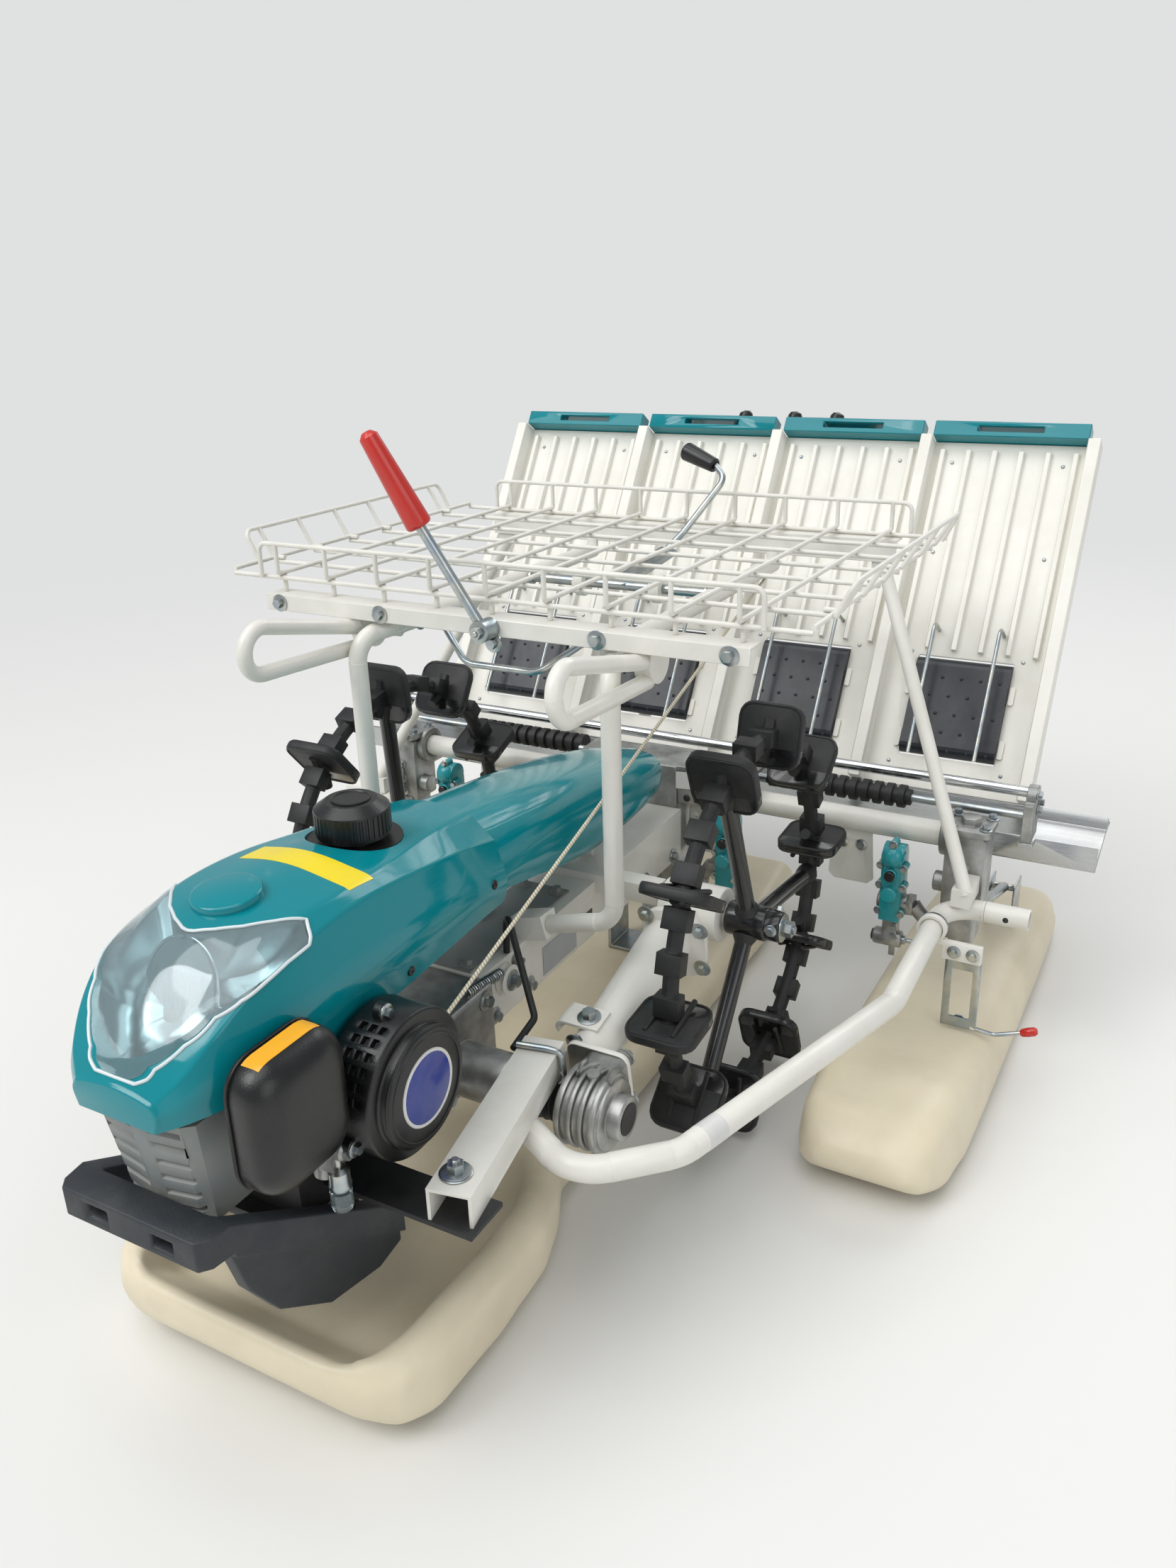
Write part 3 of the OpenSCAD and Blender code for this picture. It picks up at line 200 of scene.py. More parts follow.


# Finishes: for each slot, what the real one is and how its surface was made, and the settings of finished.
# The comment says what that gives the eye

# Each dust setting is also laid into corners by ambient occlusion, which makes it a painted shade on the pale
# finishes
PRINTED = dict(dust=("#8C887C", 0.12, 40), relief=(0.04, 8, 2), IOR=1.5, Coat_Weight=0.2)
FINISHES = {
    # An even warm white with a soft gloss and a faint orange peel. The peel is about 1 mm wide, and 3 mm is the
    # finest that shows at this distance
    "white_paint": ("powder coated steel", dict(
        base="white_hex", dust=("#B9B4A4", 0.22, 90), relief=(0.05, 3, 2), Roughness=0.34, IOR=1.5,
        Coat_Weight=0.15)),
    # Thick, soft-edged and slightly waxy
    "white_wire": ("vinyl dipped wire", dict(
        base="#E4E2DA", dust=("#B4AF9F", 0.25, 60), relief=(0.12, 7, 2), Roughness=0.4, IOR=1.5)),
    # Glossy from a polished tool, with fine hairline scratches
    "teal_abs": ("polished moulded ABS", dict(
        base="teal_hex", dust=("#2F8A8E", 0.08, 70), gloss=(0.3, 0.8, 0.07, 0.2, 1.4, 2, 0.5, (1.0, 0.05, 1.0)),
        IOR=1.44, Coat_Weight=0.12, Coat_Roughness=0.05)),
    # Glossy teal over the slightly lumpy skin of a sand casting
    "teal_paint": ("enamelled sand casting", dict(
        base="#12929A", dust=("#3F7E80", 0.3, 30), relief=(0.25, 4, 4), Roughness=0.28, IOR=1.52,
        Coat_Weight=0.3)),
    # A fine leather grain from a spark-eroded tool, which takes the gloss away
    "black_abs": ("grained black ABS", dict(
        base="#0A0B0C", dust=("#403E39", 0.11, 45), relief=(0.1, 2.2, 0), Roughness=0.34, IOR=1.54)),
    # A matt moulded grain that scuffs pale
    "bumper_pp": ("grained polypropylene", dict(
        base="#2A2F34", dust=("#66655F", 0.2, 70), relief=(0.2, 2.6, 0), Roughness=0.55, IOR=1.49)),
    # Heat-resistant paint on pressed sheet: flat and slightly chalky
    "grey_paint": ("heat paint on pressed sheet", dict(
        base="#868C8C", dust=("#A39D8C", 0.3, 50), relief=(0.08, 3), Roughness=0.48, IOR=1.5)),
    # Dull silver with a sandy skin, darker in its corners by a painted shade. Sand grains of a millimetre are
    # drawn 2 mm wide, so that they show
    "cast_aluminium": ("as-cast aluminium", dict(
        base=("#9C9D9B", "#C6C6C3", 35), dust=("#5B5850", 0.4, 40), relief=(0.16, 2), Roughness=0.42,
        Metallic=0.85)),
    # Bright, with draw lines along its length
    "bare_aluminium": ("extruded aluminium", dict(
        base="#C4C6C6", dust=("#8D8B84", 0.28, 80), relief=(0.04, 1.6, 3, 0.5, (0.02, 1.0, 1.0)),
        gloss=(0.3, 0.75, 0.22, 0.44, 1.6, 3, 0.5, (0.02, 1.0, 1.0)), Metallic=0.95)),
    # Bright, with the faint blue and straw of its passivation
    "zinc": ("passivated zinc plate", dict(
        base=("#A9B4BC", "#C9CAC2", 22), dust=("#6B675C", 0.3, 30), relief=(0.03, 6), Roughness=0.3,
        Metallic=1.0)),
    # A clean mirror with smears of oil
    "chrome_bar": ("ground chromed bar", dict(
        base="#D6D8D9", dust=("#8B8A86", 0.2, 50), gloss=(0.4, 0.7, 0.1, 0.24, 40), Metallic=1.0)),
    # Aluminium vapour on a lacquered bowl: a bright mirror with slow waves
    "reflector": ("vapour metallised reflector", dict(
        base="#DCDEE0", dust=("#9EA0A2", 0.1, 60), relief=(0.05, 16, 1), Roughness=0.1, Metallic=1.0)),
    # Clear, with a slight blue cast
    "clear_lens": ("clear moulded polycarbonate", dict(
        base="#DCEFF2", relief=(0.15, 60, 1), Roughness=0.05, IOR=1.58, Transmission_Weight=0.92)),
    # Waxy cream with shallow waves
    "cream_pe": ("blow moulded polyethylene", dict(
        base=("#E3D8BC", "cream_hex", 180), dust=("#B5A88C", 0.2, 110), relief=(0.35, 14), Roughness=0.42,
        IOR=1.51, Subsurface_Weight=0.12, Subsurface_Radius=(0.012, 0.009, 0.006))),
    # Bright and slightly milky, with a fine satin
    "white_pp": ("moulded white polypropylene", dict(
        base="#EDEBE2", dust=("#BDB6A2", 0.2, 110), relief=(0.2, 26, 2), Roughness=0.36, IOR=1.49,
        Subsurface_Weight=0.08, Subsurface_Radius=(0.008, 0.007, 0.006))),
    # Near black and matt, with a grey bloom in patches and in its corners
    "black_rubber": ("moulded rubber", dict(
        base=("#101112", "#1D1E20", 28, 5, 0.65, 0.38, 0.72), dust=("#4A4843", 0.2, 60), relief=(0.12, 3),
        Roughness=0.55, IOR=1.52)),
    # Blue-black with a soft sheen and slack waves
    "belt_rubber": ("calendered belt rubber", dict(
        base="#1B1F26", dust=("#3C4148", 0.25, 50), relief=(0.8, 34), Roughness=0.34, IOR=1.52)),
    # Glossy, with the soft runs of a dip
    "red_grip": ("dipped red vinyl", dict(
        base="#C9261B", dust=("#7E3B30", 0.2, 40), relief=(0.2, 18, 1), Roughness=0.24, IOR=1.53,
        Coat_Weight=0.2)),
    # Dull, sandy and oily in its corners
    "black_cast": ("painted casting", dict(
        base="#1C1E20", dust=("#44413A", 0.3, 40), relief=(0.25, 3, 4), Roughness=0.5, IOR=1.5)),
    "rope": ("laid nylon cord", laid_cord),
    # Flat ink under a clear film with small air bubbles
    "yellow_label": ("yellow printed vinyl", dict(PRINTED, base="#F2D913", Roughness=0.3)),
    "amber_label": ("amber printed vinyl", dict(PRINTED, base="#F0AC18", Roughness=0.25)),
    "blue_label": ("blue printed vinyl", dict(PRINTED, base="#0E2C8A", Roughness=0.2)),
    "white_label": ("white printed vinyl", dict(PRINTED, base="#DAD9D6", Roughness=0.3)),
    "silver_label": ("silver printed film", dict(PRINTED, base="#A9ACAE", Roughness=0.25)),
    "black_label": ("black printed vinyl", dict(PRINTED, base="#17181A", Roughness=0.3)),
    # Its pressed flutes scatter the mirror behind them into a silver sheen; that sheen is a painted reflection,
    # a pale base colour that lets only part of the light through
    "fluted_glass": ("fluted lamp glass", dict(
        base="#D3DADC", Roughness=0.14, IOR=1.52, Transmission_Weight=0.45)),
    # Aluminium vapour on a textured tray: silver with a soft sheen
    "satin_tray": ("satin metallised tray", dict(
        base="#C6CCCE", dust=("#8E9293", 0.15, 60), Roughness=0.32, Metallic=0.9)),
    # A painted highlight: a pale opaque colour stands in for the gleam where the flame has rounded the cut
    "lens_edge_painted_gleam": ("lens edge painted gleam", dict(PRINTED, base="#D5E0E2", Roughness=0.1)),
}
# Black enamel on welded tube: glossy, with a few dull patches of handling
BLACK_ENAMEL = dict(
    base="#131416", dust=("#3B3934", 0.25, 35), relief=(0.08, 9, 2), Roughness=0.22, IOR=1.52, Coat_Weight=0.3)

# CAD pieces of two finishes in one solid: the first finish, the second one, and the formula of the second one's
# zone. Its axes are in metres, and x is the distance from the middle of the machine
WHITE_PAINT, CASTING, ZINC, RUBBER = (
    FINISHES[slot][1] for slot in ("white_paint", "cast_aluminium", "zinc", "black_rubber"))
FROM_AXLE = ("SQRT", ("ADD", ("POWER", "y", 2.0), ("POWER", ("SUBTRACT", "z", 0.331), 2.0)))
BEHIND_PIVOT = (
    "ADD", ("MULTIPLY", ("ADD", "y", 0.425), 0.9863), ("MULTIPLY", ("SUBTRACT", "z", 0.260), 0.1648))
FROM_ARM = ("ABSOLUTE", ("SUBTRACT", ("ABSOLUTE", ("SUBTRACT", "x", 0.3)), 0.15))
ZONED = {
    # The painted hub and spokes lie within the rubber of the rim
    "wheel": ("rubber on enamelled spokes", RUBBER, BLACK_ENAMEL, ("LESS_THAN", FROM_AXLE, 0.264)),
    # The gear case of a swing arm ends 55 mm behind its pivot along the arm
    "swing_case": ("casting on painted arm", WHITE_PAINT, CASTING, ("LESS_THAN", BEHIND_PIVOT, 0.055)),
    # The enamelled case of a planting arm is 34 mm wide and stands above the bare steel of its claw
    "planting_arm": ("enamelled arm with bare claw", CASTING, FINISHES["teal_paint"][1],
                     ("MULTIPLY", ("LESS_THAN", FROM_ARM, 0.0173), ("GREATER_THAN", "z", 0.2118))),
    # The rubber boots of the feed shaft, between 192 and 446 mm from the middle
    "feed_shaft": ("zinc shaft in rubber boots", ZINC, RUBBER,
                   ("MULTIPLY", ("GREATER_THAN", "x", 0.1918), ("LESS_THAN", "x", 0.4462))),
    # The cast end brackets of the press bar, from 631 mm out
    "press_bar": ("chromed bar in cast brackets", FINISHES["chrome_bar"][1], CASTING,
                  ("GREATER_THAN", "x", 0.6315)),
    # The painted clamp of a line marker, ahead of its zinc plate
    "line_markers": ("zinc plate on painted clamp", ZINC, WHITE_PAINT, ("LESS_THAN", "y", 0.2061)),
    # The rubber sleeves on the last stretch of the handlebar
    "handlebar": ("painted bar with rubber grips", WHITE_PAINT, RUBBER, ("GREATER_THAN", "y", 1.13)),
}
finish = {}


def worked_out(tree, axes, formula):
    """The socket of a formula: an axis, a number, or an operation and what it works on."""
    if not isinstance(formula, tuple):
        return axes.get(formula, formula)
    operation, *parts = formula
    parts = [worked_out(tree, axes, part) for part in parts]
    return add(tree, "Math", [*parts, 0.0][:2], operation=operation)


def make_finish(name, looks, first, second=None, zone=None):
    """A material of one finish, or of two that meet at the edge of a zone."""
    material = bpy.data.materials.new(name)
    material.use_nodes = True
    tree = material.node_tree
    tree.nodes.clear()
    place = add(tree, "TexCoord").outputs["Object"]
    look = finished(tree, place, looks, **first) if isinstance(first, dict) else first(tree, place, looks)
    if second:
        x, y, z = add(tree, "SeparateXYZ", [place]).outputs
        axes = {"x": add(tree, "Math", [x, 0.0], operation="ABSOLUTE"), "y": y, "z": z}
        within = worked_out(tree, axes, zone)
        look = add(tree, "MixShader", [within, look, finished(tree, place, looks, **second)])
    add(tree, "OutputMaterial", {"Surface": look})
    return material


# Edge radius in millimetres and its steps, for each group of CAD pieces that gets rounded edges
EDGE_RADII = {
    "bumper": (7, 3), "engine_cradle": (2, 2), "side_guard": (2, 2), "chassis_frame": (2.5, 2),
    "transmission_case": (6, 3), "planting_gearbox": (3, 2), "gear_case": (2.5, 2), "seedling_rail": (0.8, 1),
    "recoil_starter": (3, 2), "muffler_guard": (3, 2), "wheel": (3, 2), "tray_panel": (1.5, 1),
    "tray_caps": (1.5, 1), "rack_frame": (1.2, 1), "planting_arm": (3, 2), "float_brackets": (1, 1),
    "swing_case": (2, 2), "control_panel": (6, 3), "engine_block": (5, 2), "splash_guards": (1, 1),
    "line_markers": (0.8, 1), "press_bar": (1, 1), "tail_cover": (0, 0),
    "front_lever_grip": (5, 3), "rear_lever_knob": (3, 2),
}

# The hood's sections from front to back, in millimetres: y and roof height, then half width and height at the
# edge of the roof's tongue, at the crease, at the belly and at the skirt
HOOD_ROWS = (
    (-890, 503, 34, 499, 54, 494, 62, 482, 56, 462), (-872, 528, 46, 522, 74, 515, 84, 492, 78, 468),
    (-836, 568, 54, 562, 92, 550, 108, 508, 102, 474), (-794, 602, 64, 595, 103, 577, 122, 520, 112, 475),
    (-740, 625, 78, 614, 107, 595, 128, 528, 116, 473), (-670, 632, 90, 617, 108, 603, 130, 532, 118, 470),
    (-590, 630, 90, 614, 106, 602, 130, 530, 118, 469), (-500, 616, 74, 607, 104, 591, 126, 524, 114, 470),
    (-410, 606, 62, 599, 100, 576, 120, 512, 108, 470), (-330, 594, 54, 587, 92, 556, 112, 500, 102, 468))
# How far each of those corners is rounded along its two sides, and the roof's middle
HOOD_CUTS = (24, 2.6, 6, 56)
# The lens's outline on one half of the hood: its upper line (x, y) and its lower line (y, z)
LENS_UPPER = ((0, -767), (8, -765.5), (28, -756), (52, -740), (75, -716), (94, -691))
LENS_LOWER = ((-691, 613), (-708, 594), (-740, 590), (-771, 583), (-800, 575), (-823, 564), (-850, 543),
              (-872, 522), (-879, 513.5), (-884.5, 507.5))


# Mesh making: each function adds one closed form to a bmesh


def aimed(at, axis, toward=None):
    """A placing matrix at a point, with Z along axis and X as near to toward as it can be."""
    z = Vector(axis).normalized()
    guide = Vector(toward) if toward is not None else (X_AXIS if abs(z.x) < 0.9 else Y_AXIS)
    y = z.cross(guide).normalized()
    x = y.cross(z)
    return Matrix.Translation(Vector(at)) @ Matrix((x, y, z)).transposed().to_4x4()


def skin(bm, rings, closed_ring=True, caps=True):
    """Faces between rings of points; the first and last rings are capped."""
    rows = [[bm.verts.new(p) for p in ring] for ring in rings]
    count = len(rows[0])
    for low, high in zip(rows, rows[1:]):
        for i in range(count if closed_ring else count - 1):
            j = (i + 1) % count
            bm.faces.new((low[i], low[j], high[j], high[i]))
    if caps:
        bm.faces.new(rows[0][::-1])
        bm.faces.new(rows[-1])


def lathe(bm, place, profile, sides=28):
    """Turns a profile of (radius, height) in millimetres about the Z axis of place."""
    turn = [2 * math.pi * i / sides for i in range(sides)]
    rings = []
    for radius, height in profile:
        # An end on the axis keeps a pinhole, so that its cap has a face
        reach = max(radius, 0.01)
        rings.append([place @ mm(reach * math.cos(a), reach * math.sin(a), height) for a in turn])
    skin(bm, rings)


def tube(bm, path, radius, sides=12):
    """A round tube of radius millimetres along points in metres, with its ends closed."""
    path = [Vector(p) for p in path]
    turn = [2 * math.pi * k / sides for k in range(sides)]
    rings = []
    side = None
    for i, point in enumerate(path):
        ahead = (path[min(i + 1, len(path) - 1)] - path[max(i - 1, 0)]).normalized()
        if side is None:
            side = ahead.orthogonal().normalized()
        side = (side - ahead * side.dot(ahead)).normalized()
        across = ahead.cross(side)
        rings.append([point + (side * math.cos(a) + across * math.sin(a)) * (radius * MM) for a in turn])
    skin(bm, rings)


def hoop(bm, place, radius, height, wire, count=72, sides=8):
    """A ring of wire round the Z axis of place; all its sizes are in millimetres."""
    turn = [2 * math.pi * k / count for k in range(count + 1)]
    ring = [place @ mm(radius * math.cos(a), radius * math.sin(a), height) for a in turn]
    tube(bm, ring, wire, sides)


def bend(start, corner, end, count=5):
    """The points of a smooth bend from start to end, drawn towards a corner."""
    stops = [k / count for k in range(count + 1)]
    return [start * (1 - t) ** 2 + corner * 2 * t * (1 - t) + end * t ** 2 for t in stops]


def rounded(points, radius):
    """A path through points in metres, with its corners rounded to radius millimetres."""
    points = [Vector(p) for p in points]
    path = [points[0]]
    for before, corner, after in zip(points, points[1:], points[2:]):
        inward, outward = before - corner, after - corner
        half = inward.angle(outward) / 2
        cut = min(radius * MM / math.tan(half), inward.length * 0.48, outward.length * 0.48)
        path += bend(corner + inward.normalized() * cut, corner, corner + outward.normalized() * cut)
    return path + [points[-1]]


def plate(bm, place, outline, thickness, round_edge=0.0):
    """An outline of (x, y) millimetres on place, thickened along its Z axis, with its sharp edges rounded."""
    before = len(bm.edges)
    skin(bm, [[place @ mm(x, y, z) for x, y in outline] for z in (0, thickness)])
    if round_edge:
        bm.edges.index_update()
        added = [e for e in bm.edges if e.index >= before and len(e.link_faces) == 2]
        sharp = [e for e in added if e.calc_face_angle(0) > 0.6]
        bmesh.ops.bevel(bm, geom=sharp, offset=round_edge * MM, segments=2, profile=0.6, affect="EDGES",
                        clamp_overlap=True)


def rectangle(width, height, corner=0.0, count=4):
    """A rectangle's outline with rounded corners, round its own middle."""
    if not corner:
        return [(width / 2 * sx, height / 2 * sy) for sx, sy in ((-1, -1), (1, -1), (1, 1), (-1, 1))]
    outline = []
    for sx, sy, start in ((1, 1, 0), (-1, 1, 90), (-1, -1, 180), (1, -1, 270)):
        for k in range(count + 1):
            angle = math.radians(start + 90 * k / count)
            outline.append((sx * (width / 2 - corner) + corner * math.cos(angle),
                            sy * (height / 2 - corner) + corner * math.sin(angle)))
    return outline


def bar_block(bm, low, high, round_edge=1.0):
    """A box between two corners in millimetres with rounded edges."""
    low, high = Vector(low), Vector(high)
    middle = (low + high) / 2
    place = Matrix.Translation(mm(middle.x, middle.y, low.z))
    plate(bm, place, rectangle(high.x - low.x, high.y - low.y), high.z - low.z, round_edge)


def bolt(bm, at, axis, across=13.0, washer=1.15, stub=0.0):
    """A hexagon head on its washer, seated at a point with its axis pointing out."""
    place = aimed(at, axis)
    disc, height = across * washer, across * 0.62
    lathe(bm, place, [(disc * 0.86, 0), (disc * 0.9, 0.4), (disc * 0.9, 1.4), (disc * 0.84, 1.8)], 20)
    head = place @ Matrix.Translation((0, 0, 1.8 * MM))
    corner = across * 0.577
    outline = [(corner * math.cos(a), corner * math.sin(a)) for a in [math.radians(60 * i) for i in range(6)]]
    plate(bm, head, outline, height, across * 0.07)
    if stub:
        thread, end = across * 0.3, height + stub
        lathe(bm, head, [(thread, 0), (thread, end - 1), (thread * 0.8, end)], 12)


def screw(bm, at, axis, size=10.0):
    """A domed cross-head screw; its recess is a small sunk cross."""
    place = aimed(at, axis)
    r = size / 2
    dome = [(r, 0), (r, size * 0.12), (r * 0.86, size * 0.26), (r * 0.5, size * 0.36), (0, size * 0.38)]
    lathe(bm, place, dome, 16)
    top = place @ Matrix.Translation((0, 0, size * 0.35 * MM))
    for turn in (0, 90):
        cross = top @ Matrix.Rotation(math.radians(turn), 4, "Z")
        plate(bm, cross, rectangle(size * 0.5, size * 0.12), size * 0.05)


new_skins = {}


def skin_of(node):
    """The search tree of a node's mesh, or of its stand-in's, so that a piece can be laid on its skin."""
    if node in new_skins:
        return new_skins[node]
    mesh = frame["nodes"][node].data
    return BVHTree.FromPolygons([v.co for v in mesh.vertices], [p.vertices for p in mesh.polygons])


def land(tree, start, aim):
    """The point and the outward normal where a ray from start (millimetres) meets a skin."""
    aim = Vector(aim).normalized()
    point, normal = tree.ray_cast(Vector(start) * MM, aim)[:2]
    if point is None:
        raise RuntimeError("No skin under " + str(tuple(start)))
    return point, (-normal if normal.dot(aim) > 0 else normal)


def label(name, slot, look, node, start, across, along, aim, thickness=0.4, columns=24, rows=8):
    """A thin label laid on a node's skin: a grid spanned by across and along (millimetres), cast along aim."""
    bm = bmesh.new()
    tree = skin_of(node)
    layers = [[], []]
    for j in range(rows + 1):
        for i in range(columns + 1):
            spot = Vector(start) + Vector(across) * i / columns + Vector(along) * j / rows
            point, normal = land(tree, spot, aim)
            for layer, lift in zip(layers, (0.05, 0.05 + thickness)):
                layer.append(bm.verts.new(point + normal * lift * MM))
    wide = columns + 1
    for layer in layers:
        for j in range(rows):
            for i in range(columns):
                k = j * wide + i
                bm.faces.new([layer[n] for n in (k, k + 1, k + wide + 1, k + wide)])
    rim = [*range(columns)] + [columns + j * wide for j in range(rows)]
    rim += [rows * wide + columns - i for i in range(columns)] + [(rows - j) * wide for j in range(rows)]
    for k, here in enumerate(rim):
        after = rim[(k + 1) % len(rim)]
        bm.faces.new([layers[0][here], layers[0][after], layers[1][after], layers[1][here]])
    piece(name, bm, slot, look=look)


def coil(bm, start, end, radius, turns, wire):
    """A helical spring between two points in metres."""
    start, end = Vector(start), Vector(end)
    place = aimed(start, end - start)
    length, reach = (end - start).length, radius * MM
    count = turns * 14
    path = []
    for k in range(count + 1):
        angle = 2 * math.pi * turns * k / count
        path.append(place @ Vector((reach * math.cos(angle), reach * math.sin(angle), length * k / count)))
    tube(bm, path, wire, 8)


def boot(bm, start, axis, length, inner, outer, folds):
    """A folded rubber boot along an axis from a point."""
    profile = [(inner - 2, 0), (inner + 1, 0), (inner + 1, 4)]
    pitch = (length - 8) / folds
    for k in range(folds):
        low = 4 + pitch * k
        profile += [(inner, low + 0.1 * pitch), (outer, low + 0.42 * pitch), (outer, low + 0.58 * pitch),
                    (inner, low + 0.9 * pitch)]
    profile += [(inner + 1, length - 4), (inner + 1, length), (inner - 2, length)]
    lathe(bm, aimed(start, axis), profile, 24)


def piece(name, bm, slot, body="root", look="", smooth=38.0):
    """Turns a bmesh into a named piece that rides on a body and takes the finish of a slot."""
    bmesh.ops.recalc_face_normals(bm, faces=bm.faces)
    mesh = bpy.data.meshes.new(name)
    bm.to_mesh(mesh)
    bm.free()
    for polygon in mesh.polygons:
        polygon.use_smooth = True
    mesh.set_sharp_from_angle(angle=math.radians(smooth))
    mesh.materials.append(finish[look or slot])
    made = bpy.data.objects.new(name, mesh)
    bpy.context.collection.objects.link(made)
    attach(made, body)
    return made


def turned(name, slot, place, profile, sides, look=""):
    """A piece of one lathed form."""
    bm = bmesh.new()
    lathe(bm, place, profile, sides)
    piece(name, bm, slot, look=look)


def own_body(node):
    """The body that a CAD node belongs to."""
    bodies = frame["record"]["behaviour"]["bodies"]
    return next(body for body, nodes in bodies.items() if node in nodes)


def own_slot(node):
    """The material slot of a CAD node."""
    return next(part["material_slot"] for part in frame["record"]["subparts"] if part["node"] == node)


def copied(node):
    """A welded copy of a CAD node's mesh, with each flat face in one piece."""
    bm = bmesh.new()
    bm.from_mesh(frame["nodes"][node].data)
    bmesh.ops.remove_doubles(bm, verts=bm.verts, dist=0.005 * MM)
    bmesh.ops.dissolve_limit(bm, angle_limit=math.radians(0.3), verts=bm.verts, edges=bm.edges)
    return bm


def edge_groups(bm, angle):
    """The sharp edges of a mesh, in groups that hang together and always in the same order."""
    bm.edges.index_update()
    limit = math.radians(angle)
    sharp = {e.index: e for e in bm.edges if len(e.link_faces) == 2 and e.calc_face_angle(0) > limit}
    while sharp:
        group, waiting = [], [sharp.pop(next(iter(sharp)))]
        while waiting:
            edge = waiting.pop()
            group.append(edge)
            for vertex in edge.verts:
                waiting += [sharp.pop(near.index) for near in vertex.link_edges if near.index in sharp]
        yield group


def hidden_part(bm):
    """A working object made from a bmesh, for cutting with."""
    mesh = bpy.data.meshes.new("working_part")
    bm.to_mesh(mesh)
    bm.free()
    made = bpy.data.objects.new("working_part", mesh)
    bpy.context.collection.objects.link(made)
    return made


def joined(context, base, cuts):
    """The bmesh of a working object after cuts of (other object, operation); the base keeps its own form."""
    for other, operation in cuts:
        cut = base.modifiers.new("cut", "BOOLEAN")
        cut.operation, cut.object, cut.solver = operation, other, "EXACT"
    shaped = bpy.data.meshes.new_from_object(base.evaluated_get(context.evaluated_depsgraph_get()))
    for cut in [m for m in base.modifiers if m.type == "BOOLEAN"]:
        base.modifiers.remove(cut)
    bm = bmesh.new()
    bm.from_mesh(shaped)
    return bm


def between_rows(rows, y):
    """The numbers of a table of sections at y, on a smooth curve through all its rows."""
    k = max(i for i in range(len(rows) - 1) if rows[i][0] <= y or i == 0)
    low, high = rows[k], rows[k + 1]
    before, after = rows[max(k - 1, 0)], rows[min(k + 2, len(rows) - 1)]
    span = high[0] - low[0]
    t = (y - low[0]) / span
    numbers = []
    for a, b, c, d in zip(before, low, high, after):
        slope_b, slope_c = (c - a) / (high[0] - before[0]) * span, (d - b) / (after[0] - low[0]) * span
        numbers.append((2 * t ** 3 - 3 * t ** 2 + 1) * b + (t ** 3 - 2 * t ** 2 + t) * slope_b
                       + (3 * t ** 2 - 2 * t ** 3) * c + (t ** 3 - t ** 2) * slope_c)
    return numbers


def hood_line(row):
    """The hood's outer line at one section, from skirt to skirt, with each corner rounded."""
    y, roof, *rest = row
    tongue, crease, belly, skirt = zip(rest[::2], rest[1::2])
    half = [Vector((x, y, z)) for x, z in (skirt, belly, crease, tongue)]
    corners = half + [Vector((0, y, roof))] + [Vector((-p.x, p.y, p.z)) for p in half[::-1]]
    cuts = [0, *HOOD_CUTS[:3], HOOD_CUTS[3], *HOOD_CUTS[2::-1], 0]
    line = [corners[0]]
    for before, corner, after, cut in zip(corners, corners[1:], corners[2:], cuts[1:]):
        back, ahead = before - corner, after - corner
        start = corner + back.normalized() * min(cut, 0.44 * back.length)
        end = corner + ahead.normalized() * min(cut, 0.44 * ahead.length)
        # The outermost points keep the flat stretches flat in the light, right up to the rounding
        line.append(corner + back.normalized() * min(cut + 2.5, 0.48 * back.length))
        line += bend(start, corner, end)
        line.append(corner + ahead.normalized() * min(cut + 2.5, 0.48 * ahead.length))
    return line + [corners[-1]]


def hood_rings():
    """The rings of the hood's skin in metres: the rounded nose first, then the body to its rear edge."""
    front = hood_line(HOOD_ROWS[0])
    rings = []
    for y, scale in ((-893, 0.93), (-892.4, 0.97), (-891.3, 0.99)):
        rings.append([Vector((p.x * scale, y, 462 + (p.z - 462) * scale)) for p in front])
    ends = [row[0] for row in HOOD_ROWS]
    stops = [low + (high - low) * k / 8 for low, high in zip(ends, ends[1:]) for k in range(8)] + ends[-1:]
    rings += [hood_line([y, *between_rows(HOOD_ROWS, y)[1:]]) for y in stops]
    return [[p * MM for p in ring] for ring in rings]


def dense(points, count=6):
    """The points with count steps on each stretch between two of them."""
    points = [Vector(p) for p in points]
    return [a.lerp(b, k / count) for a, b in zip(points, points[1:]) for k in range(count)] + [points[-1]]


def lens_rim():
    """The lens's outline on the hood's skin, as a closed loop of points in metres."""
    hood = skin_of("hood")
    half = [land(hood, (x, y, 700), (0, 0, -1))[0] for x, y in dense(LENS_UPPER)]
    half += [land(hood, (260, y, z), (-1, 0, 0))[0] for y, z in dense(LENS_LOWER)[2:]]
    return half + [Vector((-p.x, p.y, p.z)) for p in half[:0:-1]]


def stand_in(node, bm, smooth):
    """A piece made from a node's own mesh, which takes its place, body and finish."""
    made = piece(node + "_skin", bm, own_slot(node), own_body(node), smooth=smooth)
    made.data.materials[0] = frame["nodes"][node].data.materials[0]
    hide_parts(node)
    return made


# Sizes and colours that a user would change


class TransplanterLooks(bpy.types.PropertyGroup):
    """Colours of the moulded and coated surfaces."""

    teal_hex: bpy.props.StringProperty(
        name="Teal", description="sRGB hex colour of the hood, tail cover and tray caps", default="#00828C")
    white_hex: bpy.props.StringProperty(
        name="White", description="sRGB hex colour of the powder coated frame", default="#E6E4DC")
    cream_hex: bpy.props.StringProperty(
        name="Cream", description="sRGB hex colour of the floats", default="#EBDFC4")
    floor_hex: bpy.props.StringProperty(
        name="Floor", description="sRGB hex colour of the studio floor", default="#E4E3DF")
    backdrop_hex: bpy.props.StringProperty(
        name="Backdrop", description="sRGB hex colour of the studio's far end", default="#E0E1E1")


